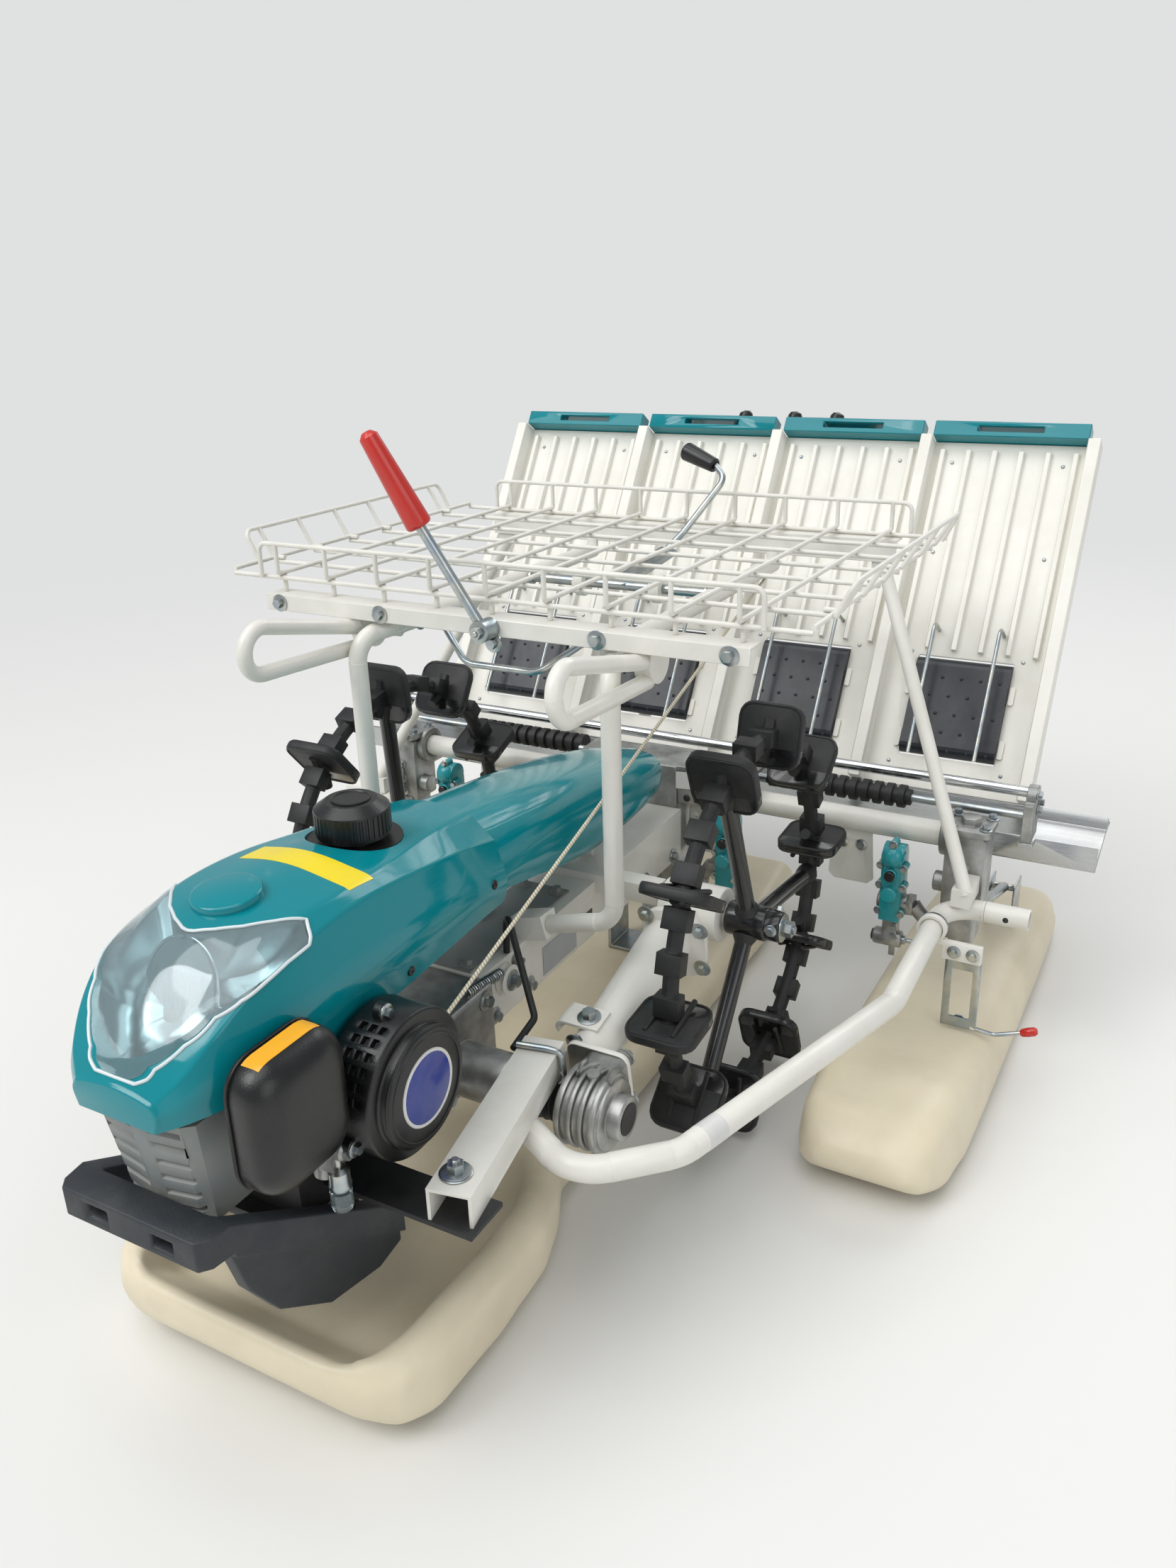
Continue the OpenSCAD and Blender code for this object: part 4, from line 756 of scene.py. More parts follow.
class TransplanterSizes(bpy.types.PropertyGroup):
    """Sizes of the fine pieces, in metres."""

    bolt_across: bpy.props.FloatProperty(
        name="Bolt head", description="Distance across the flats of the frame's bolts", default=0.017,
        min=0.01, max=0.024, subtype="DISTANCE", unit="LENGTH")
    stud_pitch: bpy.props.FloatProperty(
        name="Belt stud pitch", description="Distance between two studs of a feed belt", default=0.034,
        min=0.02, max=0.05, subtype="DISTANCE", unit="LENGTH")


# Operators: one for each piece or group of like pieces


class TRANSPLANTER_OT_finishes(bpy.types.Operator):
    """Makes each finish and gives it to the CAD pieces that keep their shape"""

    bl_idname = "transplanter.finishes"
    bl_label = "Finishes"

    def execute(self, context):
        looks = context.scene.transplanter_looks
        for slot, (name, made_of) in FINISHES.items():
            finish[slot] = make_finish(name, looks, made_of)
        zoned = {prefix: make_finish(name, looks, *parts) for prefix, (name, *parts) in ZONED.items()}
        for subpart in frame["record"]["subparts"]:
            node = frame["nodes"][subpart["node"]]
            matching = [zoned[prefix] for prefix in zoned if subpart["node"].startswith(prefix)]
            node.data.materials.clear()
            node.data.materials.append(matching[0] if matching else finish[subpart["material_slot"]])
        return {"FINISHED"}


class TRANSPLANTER_OT_skins(bpy.types.Operator):
    """Rounds the edges of the castings, mouldings and tubes as their moulds and tools leave them"""

    bl_idname = "transplanter.skins"
    bl_label = "Rounded skins"

    def execute(self, context):
        for subpart in frame["record"]["subparts"]:
            node = subpart["node"]
            matching = [prefix for prefix in EDGE_RADII if node.startswith(prefix)]
            if not matching:
                continue
            radius, segments = EDGE_RADII[max(matching, key=len)]
            bm = copied(node)
            if node == "bumper":
                bm = self.step_skid(context, bm)
            if radius:
                for group in list(edge_groups(bm, 32)):
                    live = [edge for edge in group if edge.is_valid]
                    bmesh.ops.bevel(bm, geom=live, offset=radius * MM, offset_type="OFFSET", segments=segments,
                                    profile=0.5, affect="EDGES", clamp_overlap=True)
            stand_in(node, bm, 42)
        for node in ("centre_float", "side_float_left", "side_float_right"):
            self.blow(context, node)
        return {"FINISHED"}

    def step_skid(self, context, bm):
        """Sets the skid plates back under the bumper's arms, so that the arms read as one rail."""
        # The skid's face leans out by 151 mm a metre, from 105 mm at the nose, 893 mm ahead of the axle
        nose, nose_face, lean = 893, 105, 0.151
        depth, proud = 9, 12
        blocks = []
        for side in (-1, 1):
            block = bmesh.new()
            rows = []
            for y, top in ((-872, 312), (-630, 174)):
                face = nose_face + (y + nose) * lean
                near, far = side * (face - depth), side * (face + proud)
                rows.append([mm(near, y, 100), mm(far, y, 100), mm(far, y, top), mm(near, y, top)])
            skin(block, rows)
            bmesh.ops.recalc_face_normals(block, faces=block.faces)
            blocks.append(hidden_part(block))
        base = hidden_part(bm)
        stepped = joined(context, base, [(block, "DIFFERENCE") for block in blocks])
        for part in (base, *blocks):
            bpy.data.objects.remove(part)
        return stepped

    def blow(self, context, node):
        """Softens a float as a blown bottle is soft: evenly, and most at its corners."""
        made = stand_in(node, copied(node), 60)
        remesh = made.modifiers.new("even", "REMESH")
        remesh.mode = "VOXEL"
        remesh.voxel_size = 7 * MM
        soften = made.modifiers.new("soft", "SMOOTH")
        soften.factor = 0.5
        soften.iterations = 14
        shaped = bpy.data.meshes.new_from_object(made.evaluated_get(context.evaluated_depsgraph_get()))
        made.modifiers.clear()
        materials = list(made.data.materials)
        made.data = shaped
        shaped.materials.clear()
        shaped.materials.append(materials[0])
        for polygon in shaped.polygons:
            polygon.use_smooth = True


class TRANSPLANTER_OT_stage(bpy.types.Operator):
    """Sets the pale floor, the soft lights and the camera at the photograph's angle"""

    bl_idname = "transplanter.stage"
    bl_label = "Studio"

    def execute(self, context):
        scene = context.scene
        scene.view_settings.view_transform = "Standard"
        self.lay_floor(scene.transplanter_looks)
        self.light_world(scene, scene.transplanter_looks)
        for name, place, target, size, power in (
                ("key", (-2.6, -3.6, 4.6), (0, -0.1, 0.3), 3.2, 115),
                ("fill", (4.6, -2.6, 2.8), (0, 0, 0.4), 3.6, 44),
                ("back", (0.6, 4.6, 4.0), (0, 0.3, 0.4), 3.0, 60)):
            self.hang(context, name, "AREA", place, Vector(place) - Vector(target), shape="DISK", size=size,
                      energy=power)
        self.hang(context, "overcast", "SUN", (0, 0, 5), (-0.15, -0.3, 1), angle=math.radians(60), energy=1.5)
        self.place_camera(context)
        return {"FINISHED"}

    def hang(self, context, name, kind, place, away, **settings):
        """Adds a lamp at a place, with its back turned to the direction away."""
        lamp = bpy.data.lights.new(name, kind)
        for setting, value in settings.items():
            setattr(lamp, setting, value)
        holder = bpy.data.objects.new(name, lamp)
        holder.matrix_world = aimed(place, away)
        context.collection.objects.link(holder)

    def lay_floor(self, looks):
        """Lays the floor just under the machine, out to where it meets the backdrop's tone."""
        bm = bmesh.new()
        bmesh.ops.create_grid(bm, x_segments=1, y_segments=1, size=30)
        mesh = bpy.data.meshes.new("studio_floor")
        bm.to_mesh(mesh)
        bm.free()
        mesh.materials.append(make_finish("painted studio floor", looks, floor_paint))
        floor = bpy.data.objects.new("studio_floor", mesh)
        floor.location.z = -0.5 * MM
        bpy.context.collection.objects.link(floor)

    def light_world(self, scene, looks):
        """Lights the machine dimly from all round, while the eye sees the pale backdrop."""
        world = bpy.data.worlds.new("studio")
        scene.world = world
        world.use_nodes = True
        tree = world.node_tree
        tree.nodes.clear()
        dim = add(tree, "Background", {"Color": to_linear("#E9EDF2"), "Strength": 0.5})
        seen = add(tree, "Background", {"Color": to_linear(looks.backdrop_hex), "Strength": 1.0})
        camera_ray = add(tree, "LightPath").outputs["Is Camera Ray"]
        mixed = add(tree, "MixShader", [camera_ray, dim, seen])
        add(tree, "OutputWorld", {"Surface": mixed})

    def place_camera(self, context):
        """Sets the camera that was solved from the photograph's perspective."""
        place = Vector((0.9242, -1.5546, 1.2202))
        ahead = Vector((-0.45533, 0.80908, -0.37156)).normalized()
        up = Vector((-0.15682, 0.33793, 0.92802))
        focal_pixels, image_height = 1748.9, 2212
        camera = bpy.data.cameras.new("photo_view")
        camera.sensor_fit = "VERTICAL"
        camera.sensor_height = 24.0
        camera.lens = focal_pixels / image_height * camera.sensor_height
        camera.clip_start = 0.05
        holder = bpy.data.objects.new("photo_view", camera)
        right = ahead.cross(up).normalized()
        turn = Matrix((right, right.cross(ahead), -ahead)).transposed().to_4x4()
        holder.matrix_world = Matrix.Translation(place) @ turn
        context.collection.objects.link(holder)
        context.scene.camera = holder


class TRANSPLANTER_OT_hood(bpy.types.Operator):
    """Makes the hood's shell and the lens, and puts the boss, blank label, rivets and ribbed fuel cap on it"""

    bl_idname = "transplanter.hood"
    bl_label = "Hood pieces"

    def execute(self, context):
        self.shell(context)
        hood = skin_of("hood")
        spot, normal = land(hood, (0, -707, 700), (0, 0, -1))
        turned("hood_boss", "teal_abs", aimed(spot - normal * 3 * MM, normal),
               [(39, 0), (39, 7.5), (38, 8.8), (36, 9.6), (0, 10)], 56)
        label("hood_label", "teal_abs", "yellow_label", "hood", (-66, -620, 700), (160, 0, 0), (0, 42, 0),
              (0, 0, -1))
        bm = bmesh.new()
        rivet = [(6.5, 0), (6.2, 1.6), (4.5, 2.6), (2, 2.8), (1.6, 1.6), (0, 1.6)]
        for y, z in ((-365, 510), (-560, 488), (-730, 492)):
            for side in (1, -1):
                spot, normal = land(hood, (side * 260, y, z), (-side, 0, 0))
                lathe(bm, aimed(spot, normal), rivet, 20)
        piece("hood_rivets", bm, "black_abs")
        self.cap()
        return {"FINISHED"}

    def shell(self, context):
        """The hood's moulding and the clear lens, cut from one lofted skin."""
        sheet = bmesh.new()
        skin(sheet, hood_rings(), closed_ring=False, caps=False)
        nose = [v for v in sheet.verts if v.co.y < -892.9 * MM]
        bmesh.ops.contextual_create(sheet, geom=nose)
        bmesh.ops.recalc_face_normals(sheet, faces=sheet.faces)
        if max(sheet.faces, key=lambda f: f.calc_center_median().z).normal.z < 0:
            bmesh.ops.reverse_faces(sheet, faces=sheet.faces)
        new_skins["hood"] = BVHTree.FromBMesh(sheet)
        outer = hidden_part(sheet)
        wall = outer.modifiers.new("wall", "SOLIDIFY")
        wall.thickness = 3 * MM
        wall.offset = -1
        hole = bmesh.new()
        lathe(hole, Matrix.Translation(mm(0, FILLER_Y, 560)), [(59, 0), (59, 100)], 72)
        hole = hidden_part(hole)
        for name, node, slot, gap, operation in (
                ("hood_shell", "hood", "teal_abs", 0, "DIFFERENCE"),
                ("headlamp_cover", "headlamp_lens", "clear_lens", 0.6, "INTERSECT")):
            side = self.prism(aimed(mm(-180, 0, 0), X_AXIS, Y_AXIS), self.side_view(gap), 360)
            plan = self.prism(Matrix.Translation(mm(0, 0, 440)), self.plan_view(gap), 260)
            region = hidden_part(joined(context, side, [(plan, "INTERSECT")]))
            cuts = [(region, operation)] + ([(hole, "DIFFERENCE")] if node == "hood" else [])
            made = piece(name, joined(context, outer, cuts), slot)
            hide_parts(node)
            for spent in (side, plan, region):
                bpy.data.objects.remove(spent)
        for spent in (outer, hole):
            bpy.data.objects.remove(spent)

    def side_view(self, gap):
        """What the lens takes of the hood in the side view (y, z), with its edge moved out by gap."""
        lower = [(y - gap, z + gap) for y, z in LENS_LOWER]
        return [(-930, LENS_LOWER[-1][1] + gap)] + lower[::-1] + [(-691 - gap, 680), (-930, 680)]

    def plan_view(self, gap):
        """What the lens takes of the hood from above (x, y), with its edge moved out by gap."""
        upper = [(x, y - gap) for x, y in LENS_UPPER] + [(190, -688 - gap)]
        return [(190, -930)] + upper[::-1] + [(-x, y) for x, y in upper[1:]] + [(-190, -930)]

    def prism(self, place, outline, length):
        """A working object: an outline drawn out to a length."""
        bm = bmesh.new()
        plate(bm, place, outline, length)
        bmesh.ops.recalc_face_normals(bm, faces=bm.faces)
        return hidden_part(bm)

    def cap(self):
        """The grip of the fuel cap with its 40 ribs, the rolled rim and the raised button."""
        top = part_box("fuel_cap")[1][2] / MM
        teeth = 40
        outline = []
        for i in range(teeth):
            for part, reach in ((0.0, 46.4), (0.42, 46.4), (0.58, 45.1), (0.92, 45.1)):
                angle = 2 * math.pi * (i + part) / teeth
                outline.append((reach * math.cos(angle), reach * math.sin(angle)))
        bm = bmesh.new()
        plate(bm, Matrix.Translation(mm(0, FILLER_Y, top - 39)), outline, 27)
        for depth, profile, sides in ((12, [(46.4, 0), (45.8, 2.4), (43, 4.4), (43, 3)], 48),
                                      (2, [(24, 0), (24, 3.4), (22, 4.2), (21, 3), (0, 3)], 40)):
            lathe(bm, Matrix.Translation(mm(0, FILLER_Y, top - depth)), profile, sides)
        piece("fuel_cap_grip", bm, "black_abs", smooth=25)


class TRANSPLANTER_OT_headlamp(bpy.types.Operator):
    """Makes the fluted headlamp glass with its rim and bulb, the tray behind the lens and the lens's edge"""

    bl_idname = "transplanter.headlamp"
    bl_label = "Headlamp"

    def execute(self, context):
        face = Vector((0, -0.93, 0.37)).normalized()
        place = aimed(mm(0, -785, 560) - face * 1.5 * MM, face, X_AXIS)
        bm = bmesh.new()
        # A grid of 104 steps each way, flutes 4.6 mm apart, and the glass's own reach and that of its flutes
        count, flute, glass, fluted_reach = 104, 4.6, 46.5, 44
        layers = [{}, {}]
        for j in range(count + 1):
            for i in range(count + 1):
                x, y = (glass * (2 * k / count - 1) for k in (i, j))
                reach = math.hypot(x, y)
                if reach < glass:
                    dome = 3 + 7 * (1 - (reach / glass) ** 2)
                    fluted = 1.1 * abs(math.sin(math.pi * x / flute)) if y < 16 and reach < fluted_reach else 0
                    for layer, height in zip(layers, (1, dome + fluted)):
                        layer[i, j] = bm.verts.new(place @ mm(x, y, height))
        for layer in layers:
            for i, j in layer:
                corners = [(i, j), (i + 1, j), (i + 1, j + 1), (i, j + 1)]
                if all(c in layer for c in corners):
                    bm.faces.new([layer[c] for c in corners])
        bmesh.ops.bridge_loops(bm, edges=[e for e in bm.edges if e.is_boundary])
        piece("headlamp_glass", bm, "clear_lens", look="fluted_glass", smooth=60)
        bm = bmesh.new()
        hoop(bm, place, 49.2, 1, 1.7, sides=10)
        piece("headlamp_rim", bm, "reflector")
        turned("headlamp_bulb", "clear_lens", place @ Matrix.Translation(mm(0, 0, -16)),
               [(7, 0), (7, 3), (5, 6), (5, 13), (3.4, 16), (0, 17)], 20)
        rim = lens_rim()
        self.tray(rim)
        self.edge_bead(rim)
        return {"FINISHED"}

    def tray(self, rim):
        """The silver tray behind the lens: it hangs from the outline and the reflector stands in it."""
        middle = mm(0, -796, 532)
        rings = []
        for t in [k / 12 for k in range(11)]:
            sink = Vector((0, 0, 20 * MM * math.sin(math.pi * min(t * 1.6, 1.0))))
            inward = [(p - middle).normalized() * 3.2 * MM * (1 - t) for p in rim]
            rings.append([p.lerp(middle, t) - sink - step for p, step in zip(rim, inward)])
        rings += [[p - mm(0, 0, 1.5) for p in ring] for ring in rings[::-1]]
        bm = bmesh.new()
        skin(bm, rings + rings[:1], caps=False)
        bmesh.ops.remove_doubles(bm, verts=bm.verts, dist=0.01 * MM)
        piece("headlamp_tray", bm, "reflector", look="satin_tray", smooth=60)

    def edge_bead(self, rim):
        """The thick polished edge of the lens; its pale colour is a painted highlight."""
        bm = bmesh.new()
        tube(bm, rim + rim[:1], 2.1, 8)
        piece("headlamp_edge", bm, "clear_lens", look="lens_edge_painted_gleam", smooth=60)


class TRANSPLANTER_OT_engine(bpy.types.Operator):
    """Makes the air cleaner's box, the blank badge and label, the bolts, the carburettor and the fuel filter"""

    bl_idname = "transplanter.engine"
    bl_label = "Engine pieces"

    def execute(self, context):
        crank = Vector((206, -655, 414))
        face = aimed(crank * MM, X_AXIS, Y_AXIS)
        turned("starter_badge_ring", "black_abs", face,
               [(45, -0.5), (45, 1), (44.2, 1.8), (41.6, 1.8), (41, 1.1), (41, -0.5)], 64, "white_label")
        turned("starter_badge", "black_abs", face, [(40.9, -0.5), (40.9, 1), (40, 1.3), (0, 1.4)], 64,
               "blue_label")
        bm = bmesh.new()
        for reach, at in ((61.5, 0), (69, -3.5)):
            hoop(bm, face, reach, at, 1.3)
        piece("starter_cover_beads", bm, "black_abs")
        bm, bolts = bmesh.new(), bmesh.new()
        for angle in (96, 205, 322):
            a = math.radians(angle)
            ear = Vector((156, crank.y + 90 * math.cos(a), crank.z + 90 * math.sin(a)))
            lathe(bm, aimed(ear * MM, X_AXIS), [(11, 0), (11, 9), (10, 10), (0, 10)], 24)
            bolt(bolts, (ear + Vector((10, 0, 0))) * MM, X_AXIS, 10)
        piece("starter_ears", bm, "black_abs")
        piece("starter_bolts", bolts, "zinc")
        self.air_box()
        label("air_cleaner_label", "black_abs", "amber_label", "air_cleaner", (140, -850, 620), (0, 88, 0),
              (22, 0, 0), (0, 0, -1))
        self.carburettor()
        return {"FINISHED"}

    def air_box(self):
        """The air cleaner's moulded box, with the wide round shoulder of its cover."""
        place = aimed(mm(130, -806, 470), X_AXIS, Z_AXIS)
        # Each section's height above the carburettor's flange, and how much smaller than the base it is
        wall, shoulder, drawn_in = 26, 30, 64
        sections = [(0, 4), (2, 0), (wall, 0)]
        for k in range(1, 9):
            angle = math.radians(10 * k)
            sections.append((wall + shoulder * math.sin(angle), drawn_in * (1 - math.cos(angle))))
        sections += [(56.2, 72), (56.7, 96)]
        rows = []
        for lift, inset in sections:
            corner = min(36 - 0.15 * inset, 64 - inset / 2)
            outline = rectangle(152 - inset, 130 - inset, corner, 8)
            rows.append([place @ mm(x, y, lift) for x, y in outline])
        bm = bmesh.new()
        skin(bm, rows)
        bm.normal_update()
        new_skins["air_cleaner"] = BVHTree.FromBMesh(bm)
        stand_in("air_cleaner", bm, 60)
        bm = bmesh.new()
        outline = rectangle(153, 131, 36.5, 8)
        tube(bm, [place @ mm(x, y, 6) for x, y in outline + outline[:1]], 1.6, 8)
        piece("air_cleaner_seam", bm, "black_abs")

    def carburettor(self):
        """The carburettor with its fuel cock and filter bowl, and the throttle's lever and spring."""
        x, y = 142, -742
        bm = bmesh.new()
        bar_block(bm, (92, y - 16, 352), (150, y + 16, 388), 4)
        lathe(bm, Matrix.Translation(mm(x - 14, y, 334)), [(12, 0), (15, 2), (15, 14), (17, 18), (17, 24)], 24)
        lathe(bm, aimed(mm(150, y, 372), X_AXIS), [(11, -2), (11, 6), (8, 9), (8, 14), (0, 14)], 20)
        piece("carburettor", bm, "cast_aluminium")
        bm = bmesh.new()
        lathe(bm, Matrix.Translation(mm(x + 8, y - 6, 324)),
              [(9, 0), (12, 3), (13, 9), (12, 12), (12, 26), (7, 30)], 24)
        tube(bm, rounded([mm(x + 8, y - 6, 350), mm(x + 8, y - 6, 366), mm(x - 8, y - 4, 370)], 8), 4)
        piece("fuel_cock", bm, "zinc")
        turned("fuel_filter_bowl", "clear_lens", Matrix.Translation(mm(x + 8, y - 6, 298)),
               [(0, 0), (7, 0.5), (11, 3), (12.5, 8), (12.5, 26)], 28)
        bm = bmesh.new()
        lever = rounded([mm(156, y + 10, 384), mm(158, y + 24, 398), mm(150, y + 34, 372)], 6)
        tube(bm, lever, 2.6)
        coil(bm, mm(150, y + 34, 372), mm(112, y + 44, 344), 4, 12, 0.9)
        piece("throttle_lever", bm, "zinc")


class TRANSPLANTER_OT_chassis(bpy.types.Operator):
    """Makes the plates, bolts, belt tensioner and clutch rod of the chassis and the pins of the channel bars"""

    bl_idname = "transplanter.chassis"
    bl_label = "Chassis pieces"

    def execute(self, context):
        across = context.scene.transplanter_sizes.bolt_across / MM
        for name, look, start, across_y, up_z, thickness in (
                ("rating_plate", "silver_label", (200, -176, 262), 100, 46, 1.2),
                ("data_strip", "black_label", (200, -66, 288), 44, 16, 0.8)):
            label(name, "white_paint", look, "chassis_frame", start, (0, across_y, 0), (0, 0, up_z), (-1, 0, 0),
                  thickness, 2, 2)
        bm = bmesh.new()
        for side in (1, -1):
            for y in (-310, -215, 60, 170, 280):
                bolt(bm, mm(side * 62, y, 268), (side, 0, 0), across * 0.75)
            for y, z in ((-462, 232), (-462, 328), (-362, 232), (-362, 328)):
                bolt(bm, mm(side * 84, y, z), (side, 0, 0), across * 0.8)
        piece("chassis_bolts", bm, "zinc")
        self.engine_links()
        self.channel_pins(across)
        return {"FINISHED"}

    def engine_links(self):
        """The top plate, the belt tensioner with its roller and spring, and the clutch rod."""
        bm = bmesh.new()
        bar_block(bm, (-44, -336, 345), (44, -60, 349), 1)
        for x in (-30, 30):
            for y in (-322, -74):
                bolt(bm, mm(x, y, 349), Z_AXIS, 12)
        piece("chassis_top_plate", bm, "grey_paint")
        turned("belt_tensioner_roller", "white_pp", aimed(mm(62.3, -285, 317), X_AXIS),
               [(6, 0), (20, 0), (22, 2), (19, 6), (19, 10), (22, 14), (20, 16), (6, 16)], 40)
        bm = bmesh.new()
        bolt(bm, mm(78.5, -285, 317), X_AXIS, 15)
        lathe(bm, aimed(mm(62.2, -252, 330), X_AXIS), [(9, 0), (9, 6), (5, 7), (5, 15), (0, 15)], 24)
        coil(bm, mm(68, -300, 333), mm(72, -392, 350), 6.5, 17, 1.6)
        tube(bm, rounded([mm(68, -300, 333), mm(68, -290, 331), mm(74, -285, 330)], 4), 1.6)
        piece("belt_tensioner_spring", bm, "zinc")
        bm = bmesh.new()
        tube(bm, rounded([mm(60, -268, 349), mm(64, -270, 420), mm(148, -340, 306), mm(150, -400, 294)], 14), 5)
        piece("clutch_rod", bm, "black_cast")

    def channel_pins(self, across):
        """The bolts and locking pins of the channel bars, and the labels and cross holes of the guards."""
        for name, side in SIDES:
            washers, pins = bmesh.new(), bmesh.new()
            at = mirrored((251, -676, 330), side) * MM
            lathe(washers, aimed(at, Z_AXIS), [(19, 0), (19, 2), (18, 2.6), (0, 2.6)], 32)
            bolt(washers, at + Z_AXIS * 2.6 * MM, Z_AXIS, across, stub=5)
            piece("channel_bolt_" + name, washers, "zinc")
            loop = ((183, -440, 334.6), (222, -432, 334.6), (240, -428, 332), (243, -427, 292),
                    (231, -430, 284))
            tube(pins, rounded([mirrored(p, side) * MM for p in loop], 12), 4.4)
            ring = aimed(mirrored((238, -429, 296), side) * MM, (side * 0.3, 1, 0.2))
            hoop(pins, ring, 9, 0, 1.3, 28)
            piece("channel_pin_" + name, pins, "zinc")
            sleeve, holes = bmesh.new(), bmesh.new()
            along = mirrored((128, 430, 0), side)
            lathe(sleeve, aimed(mirrored((434.8, -437, 274), side) * MM, along),
                  [(17.05, 0), (17.35, 0.3), (17.35, 34), (17.05, 34.3)], 40)
            piece("guard_label_" + name, sleeve, "white_paint", look="white_label")
            for way in (-1, 1):
                lathe(holes, aimed(mirrored((644, 292 + way * 16.4, 274), side) * MM, (0, way, 0)),
                      [(4.6, 0), (4.6, 0.7), (4, 0.8), (0, 0.75)], 20)
            piece("guard_cross_hole_" + name, holes, "white_paint", look="black_label")


class TRANSPLANTER_OT_swing_cases(bpy.types.Operator):
    """Makes the flange bolts, strap bolt, shaft boot, boss cap and casting webs of both swing cases"""

    bl_idname = "transplanter.swing_cases"
    bl_label = "Swing case pieces"

    def execute(self, context):
        across = context.scene.transplanter_sizes.bolt_across / MM * 0.75
        front, rear = Vector((233, -425, 260)), Vector((225, 0, AXLE_Z))
        along = Vector((0, rear.y - front.y, rear.z - front.z)).normalized()
        rise = X_AXIS.cross(along).normalized()
        for name, side in SIDES:
            body = "swing_" + name

            def spot(base, x, up, ahead):
                """The point at x, up and ahead millimetres from a base, along the case's own directions."""
                return mirrored(base + Vector((x, 0, 0)) + rise * up + along * ahead, side) * MM

            bm = bmesh.new()
            for x in (-8, 66):
                for up in (-36, 36):
                    bolt(bm, spot(front, x, up, 63), along, across)
            for x, up in ((-30, 44), (56, 34), (-30, -44), (56, -34)):
                bolt(bm, spot(rear, x, up, -90), -along, across)
            bolt(bm, spot(front, -14, 35, 116), rise, across * 1.25)
            piece("swing_bolts_" + name, bm, "zinc", body)
            bm = bmesh.new()
            boot(bm, mirrored((171, -425, 260), side) * MM, (side, 0, 0), 74, 22.3, 31, 6)
            lathe(bm, aimed(mirrored((331.5, -425, 260), side) * MM, (side, 0, 0)),
                  [(21, 0), (21, 1.4), (18, 1.8), (16, 0.9), (0, 0.9)], 36)
            piece("swing_boot_" + name, bm, "black_rubber", body)
            bm = bmesh.new()
            for x, lean in ((20, 0.55), (44, -0.5), (66, 0.35)):
                web = ((0, 30, 50), (14, 47, 20), (26, 50, 2))
                tube(bm, [spot(front, x + lean * run, up, ahead) for run, up, ahead in web], 4.5, 8)
            lathe(bm, aimed(spot(front, 52, 40, 8), rise), [(9, -6), (9, 12), (8, 13.5), (0, 13.5)], 24)
            piece("swing_webs_" + name, bm, "cast_aluminium", body)
        return {"FINISHED"}


class TRANSPLANTER_OT_wheels(bpy.types.Operator):
    """Makes the hub's nut and bolts, the roots of the spokes and the rolled edges of the lugs of both wheels"""

    bl_idname = "transplanter.wheels"
    bl_label = "Wheel pieces"

    def execute(self, context):
        for name, side in SIDES:
            body = "wheel_" + name + "_body"
            axle = Vector((320, 0, AXLE_Z))
            start = math.radians(22 if side > 0 else 4)
            nuts, beads = bmesh.new(), bmesh.new()
            bolt(nuts, mirrored(axle + Vector((54, 0, 0)), side) * MM, (side, 0, 0), 22, 1.1, 4)
            for k in range(3):
                out = spoke(start + math.radians(60 + 120 * k))
                at = mirrored(axle + Vector((43, 0, 0)) + out * 22.4, side) * MM
                bolt(nuts, at, mirrored(out, side), 10, 1.0)
            piece("hub_bolts_" + name, nuts, "zinc", body)
            for i in range(10):
                self.lug_bead(beads, axle, start + 2 * math.pi / 10 * i, side)
            for k in range(3):
                out = spoke(start + math.radians(120 * k))
                foot = aimed(mirrored(axle + out * 24, side) * MM, mirrored(out, side))
                lathe(beads, foot, [(19, 0), (17, 5), (14, 10), (12.5, 14)], 20)
                root = aimed(mirrored(axle + out * 240, side) * MM, mirrored(out, side))
                lathe(beads, root, [(13.5, 0), (16, 10), (18, 24)], 20)
            piece("lug_beads_" + name, beads, "black_rubber", body)
        return {"FINISHED"}

    def lug_bead(self, bm, axle, angle, side):
        """The rolled edge round a lug, its ribs and the web that carries it on the rim."""
        out, ahead = spoke(angle), Vector((0, math.cos(angle), math.sin(angle)))
        lug_w, lug_h, tip, thick = 100, 96, 330, 14
        middle = axle + out * (tip - lug_h / 2 - 1)
        outline = rectangle(lug_w - 5, lug_h - 5, 20, 4)
        for face in (-1, 1):
            ring = [mirrored(middle + Vector((x, 0, 0)) + out * y + ahead * (face * (thick / 2 - 1)), side) * MM
                    for x, y in outline]
            tube(bm, ring + ring[:1], 2.4, 6)
        rib, web = ((-40, 16), (-10, 12), (34, 6)), ((-34, -26), (-14, -14), (24, -5))
        for x, run, radius, sides in ((-20, rib, 4, 6), (20, rib, 4, 6), (0, web, 9, 8)):
            path = [middle + Vector((x, 0, 0)) + out * up + ahead * back for up, back in run]
            tube(bm, [mirrored(point, side) * MM for point in path], radius, sides)


